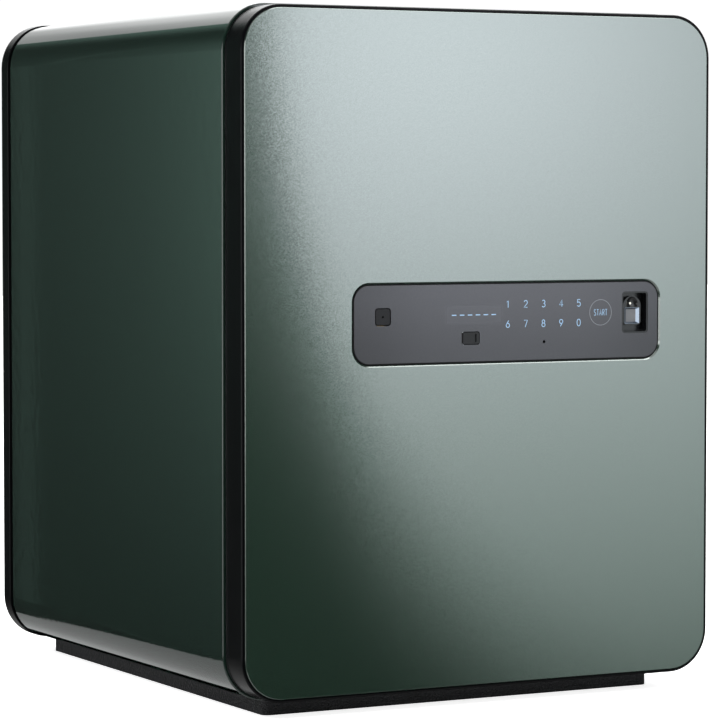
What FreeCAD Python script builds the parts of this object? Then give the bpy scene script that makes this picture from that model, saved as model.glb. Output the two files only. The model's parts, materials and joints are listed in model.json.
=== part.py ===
import FreeCAD, Part
import math
import os
from FreeCAD import Vector

# Compact fire and burglary safe with a fingerprint and touch-key lock in its door.
# Frame: millimetres, +X right and +Y back as seen from the front, +Z up.
# The origin is the centre of the footprint, at floor level.

# ---------------------------------------------------------------- driving dimensions
WIDTH = 412.0
DEPTH = 460.0
HEIGHT = 529.0
FRONT = -DEPTH / 2
REAR = DEPTH / 2

# Cabinet
RING_PROUD = 1.0           # how far the rear trim ring stands out of the shell
SHELL_THICK = 2.0
SHELL_HALF = WIDTH / 2 - RING_PROUD
SHELL_BOTTOM = 12.0
SHELL_TOP = HEIGHT - RING_PROUD
SHELL_RADIUS = 35.0
SHELL_FRONT = FRONT + 28.0
SHELL_REAR = REAR - 19.0
SHELL_LIP_RADIUS = 1.2     # rounding of the shell's front edge
FLANGE_THICK = 5.5         # turned-in edge at the shell's rear
FLANGE_LONG = 6.5
FLANGE_RADIUS = 4.5
REAR_RING_WALL = 10.0
REAR_RING_TONGUE = 5.0     # how far the ring reaches into the shell
REAR_RING_ROUND = 5.0
REAR_PANEL_INSET = 4.2
REAR_PANEL_SEAT = REAR - 1.5
REAR_PANEL_THICK = 0.7
REAR_SCREW_INSET = 7.4
REAR_SCREW_HEIGHTS = (90.0, 210.0, 330.0, 450.0)

CAVITY_HALF = 157.0        # inside of the compartment
CAVITY_BOTTOM = 60.0
CAVITY_TOP = 480.0
CAVITY_REAR = REAR - 42.0
CAVITY_RADIUS = 4.0
LINER_THICK = 1.2
FRAME_FRONT = SHELL_FRONT + 2.0
FRAME_THICK = 2.0
FRAME_BACK = FRAME_FRONT + FRAME_THICK
STRIKE_THICK = 3.0

ANCHOR_X = 100.0
ANCHOR_RADIUS = 6.0

PLINTH_HALF = 169.3
PLINTH_FRONT = FRONT + 33.0
PLINTH_REAR = REAR - 25.0
PLINTH_RADIUS = 6.0
PLINTH_WALL = 6.0
PLINTH_ROOF = 8.0          # height of the hollow inside it
PAD_RADIUS = 15.0
PAD_HIGH = 4.5
PAD_INSET = 25.0
PLINTH_SCREW_X = 140.0
PLINTH_SCREW_Y = (-60.0, 70.0)
PLINTH_SCREW_SEAT = 4.0
PLINTH_SCREW_RADIUS = 2.0

# Shelf and mats
SHELF_TOP = 272.0
SHELF_THICK = 1.5
SHELF_HALF = 154.5
SHELF_FRONT = FRONT + 88.0
SHELF_REAR = CAVITY_REAR - 5.0
SHELF_LIP = 14.0           # height of the turned-down front and rear edges
SHELF_RADIUS = 4.0
PEG_RADIUS = 3.0
PEG_SHANK_RADIUS = 2.5
PEG_SHANK_LONG = 7.0
PEG_LONG = 6.0
PEG_Y = (-110.0, 150.0)
PEG_Z = SHELF_TOP - SHELF_THICK - PEG_RADIUS
MAT_RADIUS = 5.0
SHELF_MAT_THICK = 2.0
SHELF_MAT_HALF = 152.0
SHELF_MAT_INSET = 3.0
FLOOR_MAT_THICK = 3.0
FLOOR_MAT_HALF = 152.5
FLOOR_MAT_FRONT = FRONT + 80.0
FLOOR_MAT_REAR = CAVITY_REAR - 5.0

# Door leaf
DOOR_INSET = 2.0           # the door's edge is this far inside the shell's
RING_WALL = 5.0
RING_LIP = 2.25            # the part of the door ring that shows around the panel
RING_SET_BACK = 0.3
RING_FRONT_ROUND = 1.6
RING_REAR_ROUND = 0.8
DOOR_DEPTH = 26.5
PANEL_THICK = 2.0
PANEL_CHAMFER = 0.7
CUTOUT_CHAMFER = 1.1
BACK_PLATE_THICK = 2.0
DOOR_REAR = FRONT + DOOR_DEPTH
TRAY_GAP = 4.5             # door plug to cavity wall, enough for its swing
TRAY_RISE = 4.0            # door plug to cavity floor and roof
TRAY_RADIUS = 6.0
TRAY_REAR = DOOR_REAR + 35.5
TRAY_THICK = 1.5
INNER_COVER_THICK = 2.0
INNER_COVER_FACE = TRAY_REAR + INNER_COVER_THICK
COVER_SCREW_X = 143.0
COVER_SCREW_HEIGHTS = (76.0, 205.0, 335.0, 464.0)
COVER_SCREW_RADIUS = 1.5
POST_RADIUS = 3.5
SEAL_HALF = 168.0
SEAL_LOW = 49.0
SEAL_HIGH = 491.0
SEAL_RADIUS = 10.0
SEAL_WIDE = 8.0

# Hinge
AXIS_X = 190.0             # hinge axis, inside the door's thickness
AXIS_Y = FRONT + 13.5
HINGE_HEIGHTS = (110.0, 430.0)
KNUCKLE_HALF = 20.0
KNUCKLE_RADIUS = 6.5
KNUCKLE_GAP = 0.5
PIN_RADIUS = 3.5
PIN_HALF = 34.0
BUSH_RADIUS = 5.5
BLOCK_HALF = 36.0
BLOCK_LEFT = 10.0          # hinge block reaches this far left, right, forward and back of the axis
BLOCK_RIGHT = 8.0
BLOCK_FORWARD = 9.5
BLOCK_BACK = 11.0
BRACKET_BASE_LEFT = 20.0
BRACKET_BASE_THICK = 3.0
BRACKET_ARM_HALF = 6.0
BRACKET_SCREW_X = AXIS_X - 13.5
BRACKET_SCREW_RISE = 13.0
COUNTERSINK_RADIUS = 4.2
COUNTERSINK_DEEP = 2.2
BRACKET_SCREW_RADIUS = 2.0
RUNNING_GAP = 0.05
HINGE_SWEEP = 15.5         # nothing behind the axis on its right reaches past this radius

# Control unit in the door front
CONTROL_LEFT = -111.7
CONTROL_RIGHT = 157.1
CONTROL_BOTTOM = 260.2
CONTROL_TOP = 320.9
CONTROL_RADIUS = 13.5
CONTROL_GAP = 1.2          # black reveal around the control plate
CONTROL_FRONT = FRONT + 0.4
CONTROL_PLATE_THICK = 1.6
CONTROL_PLATE_CHAMFER = 0.3
CONTROL_SEAT = CONTROL_FRONT + CONTROL_PLATE_THICK
HOUSING_REAR = DOOR_REAR - BACK_PLATE_THICK
HOUSING_RIM_BACK = 0.8     # rim of the housing behind the plate's face
HOUSING_WALL = 4.0
LID_GAP = 0.6              # around the small covers

KEY_X = -86.3
KEY_Z = 296.3
KEY_COVER_SIZE = 12.3
KEY_COVER_THICK = 3.4
KEY_COVER_RADIUS = 2.0
KEY_SKIRT_GAP = 0.15       # skirt to the opening's wall
KEY_SKIRT_THICK = 1.0
PULL_HOLE_RADIUS = 0.8
CYLINDER_RADIUS = 8.5
CYLINDER_REAR = DOOR_REAR + 7.0
PLUG_RADIUS = 5.0
CAM_GAP = 0.2
CAM_THICK = 1.3
CAM_DROP = 18.0

PORT_X = -11.2
PORT_Z = 279.1
PORT_WIDE = 14.5
PORT_HIGH = 8.8
PORT_COVER_THICK = 2.0
PORT_PIN_RADIUS = 0.4
PORT_PIN_REACH = 1.2
PORT_AXIS_X = PORT_X - PORT_WIDE / 2 + PORT_COVER_THICK / 2
PORT_AXIS_Y = CONTROL_FRONT + PORT_COVER_THICK / 2
SOCKET_HALF_WIDE = 4.6
SOCKET_HALF_HIGH = 1.8

FINGER_X = 135.2           # finger recess
FINGER_Z = 296.2
FINGER_WIDE = 23.9
FINGER_HIGH = 32.3
FINGER_RADIUS = 3.0
FINGER_DEEP = 8.0
FINGER_FLOOR = CONTROL_FRONT + FINGER_DEEP
LINING_WALL = 1.2
LINING_SET_BACK = 0.3
LINING_BACK = 3.0
BOSS_FRONT = CONTROL_FRONT + 4.4
BOSS_HALF = 8.25           # raised oval around scoop and sensor
BOSS_ARCH_Z = FINGER_Z + 4.2
BOSS_BOTTOM = FINGER_Z - 9.9
BOSS_RADIUS = 3.5
LED_RADIUS = 0.98
LED_Z = FINGER_Z + 6.7
SCOOP_RADIUS = 6.8         # dished rest for the finger tip, around the lamp
SCOOP_DEEP = 2.4
FRAME_HALF_WIDE = 7.1      # raised frame around the sensor
FRAME_HALF_HIGH = 6.7
FRAME_PROUD = 0.3
FRAME_RADIUS = 1.6
SENSOR_Z = FINGER_Z - 2.7
BEZEL_HALF_WIDE = 6.5
BEZEL_HALF_HIGH = 6.1
BEZEL_DEEP = 2.0
SENSOR_HALF_WIDE = 4.45    # the part of the sensor that shows
SENSOR_HALF_HIGH = 4.9
SENSOR_THICK = 1.3
SENSOR_REAR = BOSS_FRONT - FRAME_PROUD + BEZEL_DEEP + SENSOR_THICK

SOUND_HOLE_X = 53.3
SOUND_HOLE_Z = 275.1
SOUND_HOLE_RADIUS = 1.2
BUZZER_RADIUS = 4.5
BOARD_LEFT = 5.0
BOARD_RIGHT = 118.0
BOARD_LOW = 266.0
BOARD_HIGH = 315.0
BOARD_THICK = 1.6

CABLE_X = 60.0
CABLE_Z = 268.0
CABLE_RADIUS = 1.8
CABLE_HOLE_RADIUS = 5.0

# Battery bay and enrol button inside the door
BATTERY_X = 70.0
BATTERY_Z = 200.0
BATTERY_WIDE = 68.0
BATTERY_HIGH = 60.0
BATTERY_RADIUS = 3.0
BATTERY_BOX_DEEP = 20.0
BATTERY_BOX_WALL = 2.0
BATTERY_COVER_GAP = 0.3
CELL_RADIUS = 7.1
CELL_LONG = 49.5
CELL_PITCH = 15.5
CELL_DEPTH = 10.5          # cell axis behind the tray's rear edge
BUTTON_X = 104.0
BUTTON_Z = 252.0
BUTTON_RADIUS = 3.0
BUTTON_PROUD = 1.8
BUTTON_LONG = 6.8

# Boltwork
BOLT_HEIGHTS = (140.0, 270.0, 400.0)
BOLT_Y = DOOR_REAR + 19.5
BOLT_RADIUS = 9.0
BOLT_TIP_X = -151.5
BOLT_THROW = 18.0
BOLT_CHAMFER = 1.5
STUD_RADIUS = 4.0
NUT_RADIUS = 7.0
NUT_THICK = 5.0
TUNNEL_GAP = 1.5
BAR_LEFT = -108.0
BAR_RIGHT = -102.0
BAR_HALF = 9.5
BAR_LOW = 118.0
BAR_HIGH = 422.0
GUIDE_LONG = 12.0
GUIDE_HALF = 14.0

GEAR_MODULE = 1.0
GEAR_TEETH = 18
GEAR_X = -60.0
GEAR_Z = 315.0
GEAR_FRONT = BOLT_Y - 0.5
GEAR_REAR = BOLT_Y + 4.5
GEAR_HUB_RADIUS = 5.0
GEAR_HUB_LONG = 3.0
PRESSURE_ANGLE = math.radians(20)
GEAR_BACKLASH = 0.15
DEDENDUM = 1.25
RACK_BACK_HIGH = 7.0       # solid depth below the rack's teeth
RACK_TEETH_BEFORE = 4
SHAFT_RADIUS = 1.5
SHAFT_FRONT = BOLT_Y - 4.5
SHAFT_LONG = 12.0
MOTOR_RADIUS = 9.5
MOTOR_LONG = 14.0
MOTOR_BOSS_RADIUS = 4.0
BRACKET_HALF = 18.0        # motor bracket
BRACKET_THICK = 1.5


# ---------------------------------------------------------------- helpers
def box(x0, x1, y0, y1, z0, z1):
    return Part.makeBox(x1 - x0, y1 - y0, z1 - z0, Vector(x0, y0, z0))


def rod(radius, start, direction, length):
    return Part.makeCylinder(radius, length, Vector(*start), Vector(*direction))


def edges_along(shape, axis):
    """The straight edges of a box that run along one axis."""
    found = []
    for edge in shape.Edges:
        if abs(edge.tangentAt(edge.FirstParameter).dot(axis)) > 0.99:
            found.append(edge)
    return found


def upright_prism(x0, x1, z0, z1, radius, y0, y1):
    """A block with rounded corners as seen from the front."""
    blank = box(x0, x1, y0, y1, z0, z1)
    return blank.makeFillet(radius, edges_along(blank, Vector(0, 1, 0)))


def flat_prism(x0, x1, y0, y1, radius, z0, z1):
    """A block with rounded corners as seen from above."""
    blank = box(x0, x1, y0, y1, z0, z1)
    return blank.makeFillet(radius, edges_along(blank, Vector(0, 0, 1)))


def level_edges(shape, y):
    """The edges that lie wholly in the plane at this y."""
    found = []
    for edge in shape.Edges:
        bounds = edge.BoundBox
        if abs(bounds.YMin - y) < 1e-4 and abs(bounds.YMax - y) < 1e-4:
            found.append(edge)
    return found


def outer_edges(shape, y, reach):
    """The edges in the plane at this y that stay at least this far from the middle."""
    middle = Vector(0, y, (SHELL_BOTTOM + SHELL_TOP) / 2)
    found = []
    for edge in level_edges(shape, y):
        start = edge.valueAt(edge.FirstParameter)
        offset = start - middle
        across = abs(offset.x)
        up = abs(offset.z) - (SHELL_TOP - SHELL_BOTTOM) / 2 + SHELL_HALF
        if max(across, up) > reach:
            found.append(edge)
    return found


def joined(shapes):
    whole = shapes[0]
    for shape in shapes[1:]:
        whole = whole.fuse(shape)
    return whole.removeSplitter()


def cut_all(shape, tools):
    for tool in tools:
        shape = shape.cut(tool)
    return shape


def save(shapes, node):
    """One STEP file for a node, which may be a group of separate solids."""
    if not isinstance(shapes, list):
        shapes = [shapes]
    solids = []
    for shape in shapes:
        solids.extend(shape.Solids)
    whole = solids[0] if len(solids) == 1 else Part.makeCompound(solids)
    whole.exportStep("parts/" + node + ".step")


def shell_block(inset, y0, y1):
    """The body's rounded outline, drawn in by an inset."""
    return upright_prism(
        -SHELL_HALF + inset, SHELL_HALF - inset,
        SHELL_BOTTOM + inset, SHELL_TOP - inset,
        SHELL_RADIUS - inset, y0, y1)


def cavity_block(outset, y0, y1):
    return upright_prism(
        -CAVITY_HALF - outset, CAVITY_HALF + outset,
        CAVITY_BOTTOM - outset, CAVITY_TOP + outset,
        CAVITY_RADIUS + outset, y0, y1)


def screw(head_radius, head_high, shank_radius, length, tip, direction):
    """A pan-head screw; tip is where the head meets the sheet, direction points inwards."""
    axis = Vector(*direction)
    seat = Vector(*tip)
    head = Part.makeCylinder(head_radius, head_high, seat - axis * head_high, axis)
    top = [edge for edge in head.Edges
           if (edge.BoundBox.Center - (seat - axis * head_high)).Length < 1e-6]
    head = head.makeFillet(head_high * 0.45, top)
    shank = Part.makeCylinder(shank_radius, length, seat, axis)
    slot = head_radius * 0.32
    recess = Part.makeBox(slot * 2, slot * 2, slot * 2, Vector(-slot, -slot, -slot))
    recess.Placement = FreeCAD.Placement(seat - axis * head_high, FreeCAD.Rotation(Vector(0, 0, 1), axis))
    return joined([head, shank]).cut(recess)


# ---------------------------------------------------------------- cabinet: shell and back
def anchor_holes(radius, z0, z1):
    return [rod(radius, (x, 0, z0), (0, 0, 1), z1 - z0) for x in (-ANCHOR_X, ANCHOR_X)]


def outer_shell():
    """Rounded steel tube; its rear edge is turned in and generously rounded."""
    shell = shell_block(0, SHELL_FRONT, SHELL_REAR)
    shell = shell.cut(shell_block(SHELL_THICK, SHELL_FRONT - 1, SHELL_REAR - FLANGE_LONG))
    shell = shell.cut(shell_block(FLANGE_THICK, SHELL_FRONT, SHELL_REAR + 1))
    shell = shell.makeFillet(SHELL_LIP_RADIUS, outer_edges(shell, SHELL_FRONT, SHELL_HALF - SHELL_THICK / 2))
    shell = shell.makeFillet(FLANGE_RADIUS, outer_edges(shell, SHELL_REAR, SHELL_HALF - SHELL_THICK / 2))
    return cut_all(shell, anchor_holes(ANCHOR_RADIUS, 0, 40) + plinth_screw_holes(0))


def rear_ring():
    """Moulded frame around the shell's rear edge; it also carries the rear panel."""
    ring = shell_block(-RING_PROUD, SHELL_REAR, REAR_PANEL_SEAT)
    ring = ring.makeFillet(REAR_RING_ROUND, level_edges(ring, REAR_PANEL_SEAT))
    ring = ring.makeFillet(RING_REAR_ROUND, level_edges(ring, SHELL_REAR))
    tongue = shell_block(FLANGE_THICK, SHELL_REAR - REAR_RING_TONGUE, SHELL_REAR)
    ring = joined([ring, tongue])
    ring = ring.cut(shell_block(REAR_RING_WALL, SHELL_REAR - REAR_RING_TONGUE - 1, REAR))
    return cut_all(ring, rear_screw_holes())


def rear_screw_points():
    reach_x = SHELL_HALF - REAR_SCREW_INSET
    return [(side * reach_x, z) for z in REAR_SCREW_HEIGHTS for side in (-1, 1)]


def rear_screw_holes():
    return [rod(1.5, (x, REAR, z), (0, -1, 0), 12) for x, z in rear_screw_points()]


def rear_panel():
    panel = shell_block(REAR_PANEL_INSET, REAR_PANEL_SEAT, REAR_PANEL_SEAT + REAR_PANEL_THICK)
    return cut_all(panel, rear_screw_holes())


def rear_panel_screws():
    face = REAR_PANEL_SEAT + REAR_PANEL_THICK
    return [screw(2.4, 0.8, 1.5, 8, (x, face, z), (0, -1, 0)) for x, z in rear_screw_points()]


# ---------------------------------------------------------------- cabinet: fire insulation and inner box
def fire_insulation():
    """Five cast slabs around the inner box."""
    rear = CAVITY_REAR + LINER_THICK
    left, right = -CAVITY_HALF - LINER_THICK, CAVITY_HALF + LINER_THICK
    low, high = CAVITY_BOTTOM - LINER_THICK, CAVITY_TOP + LINER_THICK
    envelope = shell_block(SHELL_THICK, FRAME_BACK, rear)
    top = envelope.common(box(-WIDTH, WIDTH, FRAME_BACK, rear, high, HEIGHT))
    bottom = envelope.common(box(-WIDTH, WIDTH, FRAME_BACK, rear, 0, low))
    bottom = cut_all(bottom, anchor_holes(ANCHOR_RADIUS, 0, CAVITY_BOTTOM))
    left_slab = envelope.common(box(-WIDTH, left, FRAME_BACK, rear, low, high))
    left_slab = left_slab.cut(strike_space())
    left_slab = cut_all(left_slab, bolt_tunnels(BOLT_RADIUS + TUNNEL_GAP + 1, left - 20, left))
    right_slab = envelope.common(box(right, WIDTH, FRAME_BACK, rear, low, high))
    back = shell_block(REAR_RING_WALL, rear, REAR_PANEL_SEAT)
    slabs = [top, bottom, left_slab, right_slab, back]
    return [cut_all(slab, shelf_peg_shanks()) for slab in slabs]


def bolt_tunnels(radius, x0, x1):
    return [rod(radius, (x0, BOLT_Y, z), (1, 0, 0), x1 - x0) for z in BOLT_HEIGHTS]


def inner_liner():
    liner = cavity_block(LINER_THICK, FRAME_BACK, CAVITY_REAR + LINER_THICK)
    liner = liner.cut(cavity_block(0, FRAME_BACK - 1, CAVITY_REAR))
    liner = cut_all(liner, bolt_tunnels(BOLT_RADIUS + TUNNEL_GAP, -CAVITY_HALF - 5, -CAVITY_HALF + 5))
    liner = cut_all(liner, anchor_holes(ANCHOR_RADIUS, 40, 80))
    return cut_all(liner, shelf_peg_shanks())


def strike_space():
    outer = -CAVITY_HALF - LINER_THICK
    low, high = BOLT_HEIGHTS[0] - 30, BOLT_HEIGHTS[-1] + 30
    return box(outer - STRIKE_THICK, outer, BOLT_Y - 13, BOLT_Y + 14, low, high)


def strike_plate():
    """Hard plate behind the inner box wall, where the bolts go through."""
    return cut_all(strike_space(), bolt_tunnels(BOLT_RADIUS + TUNNEL_GAP, -CAVITY_HALF - 10, -CAVITY_HALF))


def front_frame():
    frame = shell_block(SHELL_THICK, FRAME_FRONT, FRAME_BACK)
    frame = frame.cut(cavity_block(0, FRAME_FRONT - 1, FRAME_BACK + 1))
    return cut_all(frame, bracket_screw_holes())


def shelf_peg_points():
    return [(side, y) for side in (-1, 1) for y in PEG_Y]


def shelf_peg_shanks():
    shanks = []
    for side, y in shelf_peg_points():
        start = (side * (CAVITY_HALF + PEG_SHANK_LONG), y, PEG_Z)
        shanks.append(rod(PEG_SHANK_RADIUS, start, (-side, 0, 0), PEG_SHANK_LONG))
    return shanks


def shelf_pegs():
    pegs = []
    for (side, y), shank in zip(shelf_peg_points(), shelf_peg_shanks()):
        stub = rod(PEG_RADIUS, (side * CAVITY_HALF, y, PEG_Z), (-side, 0, 0), PEG_LONG)
        pegs.append(joined([shank, stub]))
    return pegs


def shelf():
    """Folded sheet with its front and rear edges turned down."""
    half, front, rear = SHELF_HALF, SHELF_FRONT, SHELF_REAR
    under = SHELF_TOP - SHELF_THICK
    low = SHELF_TOP - SHELF_LIP
    plate = flat_prism(-half, half, front, rear, SHELF_RADIUS, under, SHELF_TOP)
    lip = box(-half, half, front, front + SHELF_THICK, low, under)
    tail = box(-half, half, rear - SHELF_THICK, rear, low, under)
    outline = flat_prism(-half, half, front, rear, SHELF_RADIUS, low - 1, SHELF_TOP + 1)
    return joined([plate, lip, tail]).common(outline)


def shelf_mat():
    return flat_prism(
        -SHELF_MAT_HALF, SHELF_MAT_HALF, SHELF_FRONT + SHELF_MAT_INSET, SHELF_REAR - SHELF_MAT_INSET,
        MAT_RADIUS, SHELF_TOP, SHELF_TOP + SHELF_MAT_THICK)


def floor_mat():
    mat = flat_prism(
        -FLOOR_MAT_HALF, FLOOR_MAT_HALF, FLOOR_MAT_FRONT, FLOOR_MAT_REAR,
        MAT_RADIUS, CAVITY_BOTTOM, CAVITY_BOTTOM + FLOOR_MAT_THICK)
    return cut_all(mat, anchor_holes(ANCHOR_RADIUS + 4, 40, 80))


def plinth():
    """Moulded base tray, open downwards, that lifts the body off the floor."""
    wall = PLINTH_WALL
    tray = flat_prism(-PLINTH_HALF, PLINTH_HALF, PLINTH_FRONT, PLINTH_REAR, PLINTH_RADIUS, 0, SHELL_BOTTOM)
    hollow = flat_prism(
        -PLINTH_HALF + wall, PLINTH_HALF - wall, PLINTH_FRONT + wall, PLINTH_REAR - wall,
        PLINTH_RADIUS - 2, -1, PLINTH_ROOF)
    bosses = []
    for x in (-ANCHOR_X, ANCHOR_X):
        bosses.append(rod(ANCHOR_RADIUS + 10, (x, 0, 0), (0, 0, 1), PLINTH_ROOF + 2))
    for x, y in pad_points():
        bosses.append(rod(PAD_RADIUS + 3, (x, y, PAD_HIGH - 2), (0, 0, 1), PLINTH_ROOF))
    for x, y in plinth_screw_points():
        bosses.append(rod(8, (x, y, PLINTH_SCREW_SEAT), (0, 0, 1), PLINTH_ROOF - 2))
    tray = joined([tray.cut(hollow)] + bosses)
    tools = anchor_holes(ANCHOR_RADIUS, -1, 20)
    tools += [rod(PAD_RADIUS, (x, y, -1), (0, 0, 1), PAD_HIGH + 1) for x, y in pad_points()]
    return cut_all(tray, tools + plinth_screw_holes(-1))


def pad_points():
    reach_x = PLINTH_HALF - PAD_INSET
    rows = (PLINTH_FRONT + PAD_INSET, PLINTH_REAR - PAD_INSET)
    return [(side * reach_x, y) for side in (-1, 1) for y in rows]


def base_pads():
    return [rod(PAD_RADIUS, (x, y, 0), (0, 0, 1), PAD_HIGH) for x, y in pad_points()]


def plinth_screw_points():
    return [(side * PLINTH_SCREW_X, y) for side in (-1, 1) for y in PLINTH_SCREW_Y]


def plinth_screws():
    seat = PLINTH_SCREW_SEAT
    return [screw(4, 2, PLINTH_SCREW_RADIUS, 9.5, (x, y, seat), (0, 0, 1)) for x, y in plinth_screw_points()]


def plinth_screw_holes(start):
    return [rod(PLINTH_SCREW_RADIUS, (x, y, start), (0, 0, 1), 20) for x, y in plinth_screw_points()]


# ---------------------------------------------------------------- hinge
def hinge_bracket(height):
    """Plate screwed to the frame, with an arm forward to the middle knuckle."""
    low, high = height - KNUCKLE_HALF, height + KNUCKLE_HALF
    arm_half = BRACKET_ARM_HALF
    base_front = FRAME_FRONT - BRACKET_BASE_THICK
    base = box(AXIS_X - BRACKET_BASE_LEFT, AXIS_X + arm_half, base_front, FRAME_FRONT, low, high)
    arm = box(AXIS_X - arm_half, AXIS_X + arm_half, AXIS_Y, FRAME_FRONT - 1, low, high)
    knuckle = rod(KNUCKLE_RADIUS, (AXIS_X, AXIS_Y, low), (0, 0, 1), high - low)
    bracket = joined([base, arm, knuckle])
    bracket = bracket.cut(rod(PIN_RADIUS, (AXIS_X, AXIS_Y, low - 1), (0, 0, 1), high - low + 2))
    return cut_all(bracket, bracket_screw_holes())


def bracket_screw_points():
    rises = (-BRACKET_SCREW_RISE, BRACKET_SCREW_RISE)
    return [(BRACKET_SCREW_X, height + rise) for height in HINGE_HEIGHTS for rise in rises]


def countersunk_head(x, z):
    seat = Vector(x, FRAME_FRONT - BRACKET_BASE_THICK, z)
    return Part.makeCone(COUNTERSINK_RADIUS, BRACKET_SCREW_RADIUS, COUNTERSINK_DEEP, seat, Vector(0, 1, 0))


def bracket_screw_holes():
    holes = []
    for x, z in bracket_screw_points():
        holes.append(rod(BRACKET_SCREW_RADIUS, (x, FRAME_FRONT - 4, z), (0, 1, 0), 10))
        holes.append(countersunk_head(x, z))
    return holes


def hinge_screws():
    screws = []
    for x, z in bracket_screw_points():
        shank = rod(BRACKET_SCREW_RADIUS, (x, FRAME_FRONT - 2, z), (0, 1, 0), 4)
        slot = box(x - 0.5, x + 0.5, FRAME_FRONT - 4, FRAME_FRONT - 2, z - 3, z + 3)
        screws.append(joined([countersunk_head(x, z), shank]).cut(slot))
    return screws


def hinge_pins():
    return [rod(PIN_RADIUS, (AXIS_X, AXIS_Y, height - PIN_HALF), (0, 0, 1), PIN_HALF * 2)
            for height in HINGE_HEIGHTS]


def hinge_block_spans():
    """The lower and upper block of each hinge, clear of the knuckle between them."""
    spans = []
    for height in HINGE_HEIGHTS:
        spans.append((height - BLOCK_HALF, height - KNUCKLE_HALF - KNUCKLE_GAP))
        spans.append((height + KNUCKLE_HALF + KNUCKLE_GAP, height + BLOCK_HALF))
    return spans


def door_hinge_blocks():
    blocks = []
    for low, high in hinge_block_spans():
        block = box(
            AXIS_X - BLOCK_LEFT, AXIS_X + BLOCK_RIGHT, AXIS_Y - BLOCK_FORWARD, AXIS_Y + BLOCK_BACK, low, high)
        blocks.append(block.cut(rod(BUSH_RADIUS, (AXIS_X, AXIS_Y, low - 1), (0, 0, 1), high - low + 2)))
    return blocks


def hinge_bushes():
    bushes = []
    for low, high in hinge_block_spans():
        sleeve = rod(BUSH_RADIUS, (AXIS_X, AXIS_Y, low), (0, 0, 1), high - low)
        bore = rod(PIN_RADIUS + RUNNING_GAP, (AXIS_X, AXIS_Y, low - 1), (0, 0, 1), high - low + 2)
        bushes.append(sleeve.cut(bore))
    return bushes


def hinge_clearance():
    """What the door gives up around the hinge axis so that it can swing."""
    right = SHELL_HALF + 5
    quadrant = box(AXIS_X, right, AXIS_Y, FRAME_FRONT, SHELL_BOTTOM, SHELL_TOP)
    core = rod(HINGE_SWEEP, (AXIS_X, AXIS_Y, SHELL_BOTTOM - 1), (0, 0, 1), SHELL_TOP - SHELL_BOTTOM + 2)
    tools = [quadrant.cut(core)]
    for height in HINGE_HEIGHTS:
        low, high = height - KNUCKLE_HALF - KNUCKLE_GAP, height + KNUCKLE_HALF + KNUCKLE_GAP
        tools.append(box(AXIS_X - 8.5, right, AXIS_Y - BLOCK_FORWARD, FRAME_FRONT, low, high))
    return tools


# ---------------------------------------------------------------- door leaf
def door_block(inset, y0, y1):
    grow = DOOR_INSET + inset
    return shell_block(grow, y0, y1)


def door_trim_ring():
    ring = door_block(0, FRONT + RING_SET_BACK, DOOR_REAR)
    ring = ring.makeFillet(RING_FRONT_ROUND, level_edges(ring, FRONT + RING_SET_BACK))
    ring = ring.makeFillet(RING_REAR_ROUND, level_edges(ring, DOOR_REAR))
    ring = ring.cut(door_block(RING_LIP, FRONT - 1, FRONT + PANEL_THICK))
    ring = ring.cut(door_block(RING_WALL, FRONT, DOOR_REAR + 1))
    return cut_all(ring, hinge_clearance())


def control_cutout(outset, y0, y1):
    return upright_prism(
        CONTROL_LEFT - outset, CONTROL_RIGHT + outset,
        CONTROL_BOTTOM - outset, CONTROL_TOP + outset,
        CONTROL_RADIUS + outset, y0, y1)


def door_panel():
    """Painted front skin, its outer edge and its control cut-out lightly chamfered."""
    panel = door_block(RING_LIP, FRONT, FRONT + PANEL_THICK)
    panel = panel.makeChamfer(PANEL_CHAMFER, level_edges(panel, FRONT))
    opening = control_cutout(0, FRONT - 1, FRONT + PANEL_THICK + 1)
    panel = panel.cut(opening)
    rim = []
    for edge in level_edges(panel, FRONT):
        middle = edge.valueAt((edge.FirstParameter + edge.LastParameter) / 2)
        inside_x = CONTROL_LEFT - 1 < middle.x < CONTROL_RIGHT + 1
        inside_z = CONTROL_BOTTOM - 1 < middle.z < CONTROL_TOP + 1
        if inside_x and inside_z:
            rim.append(edge)
    return panel.makeChamfer(CUTOUT_CHAMFER, rim)


def door_core():
    """Fire-resistant filling between the front skin and the back plate."""
    core = door_block(RING_WALL, FRONT + PANEL_THICK, HOUSING_REAR)
    core = core.cut(control_cutout(0, FRONT, DOOR_REAR))
    core = cut_all(core, hinge_clearance())
    for height in HINGE_HEIGHTS:
        low, high = height - BLOCK_HALF, height + BLOCK_HALF
        core = core.cut(box(AXIS_X - BLOCK_LEFT, AXIS_X + 20, AXIS_Y - BLOCK_FORWARD, DOOR_REAR, low, high))
    return core


def door_back_plate():
    plate = door_block(RING_WALL, HOUSING_REAR, DOOR_REAR)
    plate = cut_all(plate, hinge_clearance())
    key_hole = rod(CYLINDER_RADIUS + 0.5, (KEY_X, HOUSING_REAR - 1, KEY_Z), (0, 1, 0), 4)
    cable_hole = rod(CABLE_HOLE_RADIUS, (CABLE_X, HOUSING_REAR - 1, CABLE_Z), (0, 1, 0), 4)
    return cut_all(plate, [key_hole, cable_hole])


def door_seal():
    """Heat-swelling strip that closes the gap between door and frame."""
    wide = SEAL_WIDE
    back = FRAME_FRONT - 0.1
    seal = upright_prism(-SEAL_HALF, SEAL_HALF, SEAL_LOW, SEAL_HIGH, SEAL_RADIUS, DOOR_REAR, back)
    return seal.cut(upright_prism(
        -SEAL_HALF + wide, SEAL_HALF - wide, SEAL_LOW + wide, SEAL_HIGH - wide,
        SEAL_RADIUS - 4, DOOR_REAR - 1, FRAME_FRONT))


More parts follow.
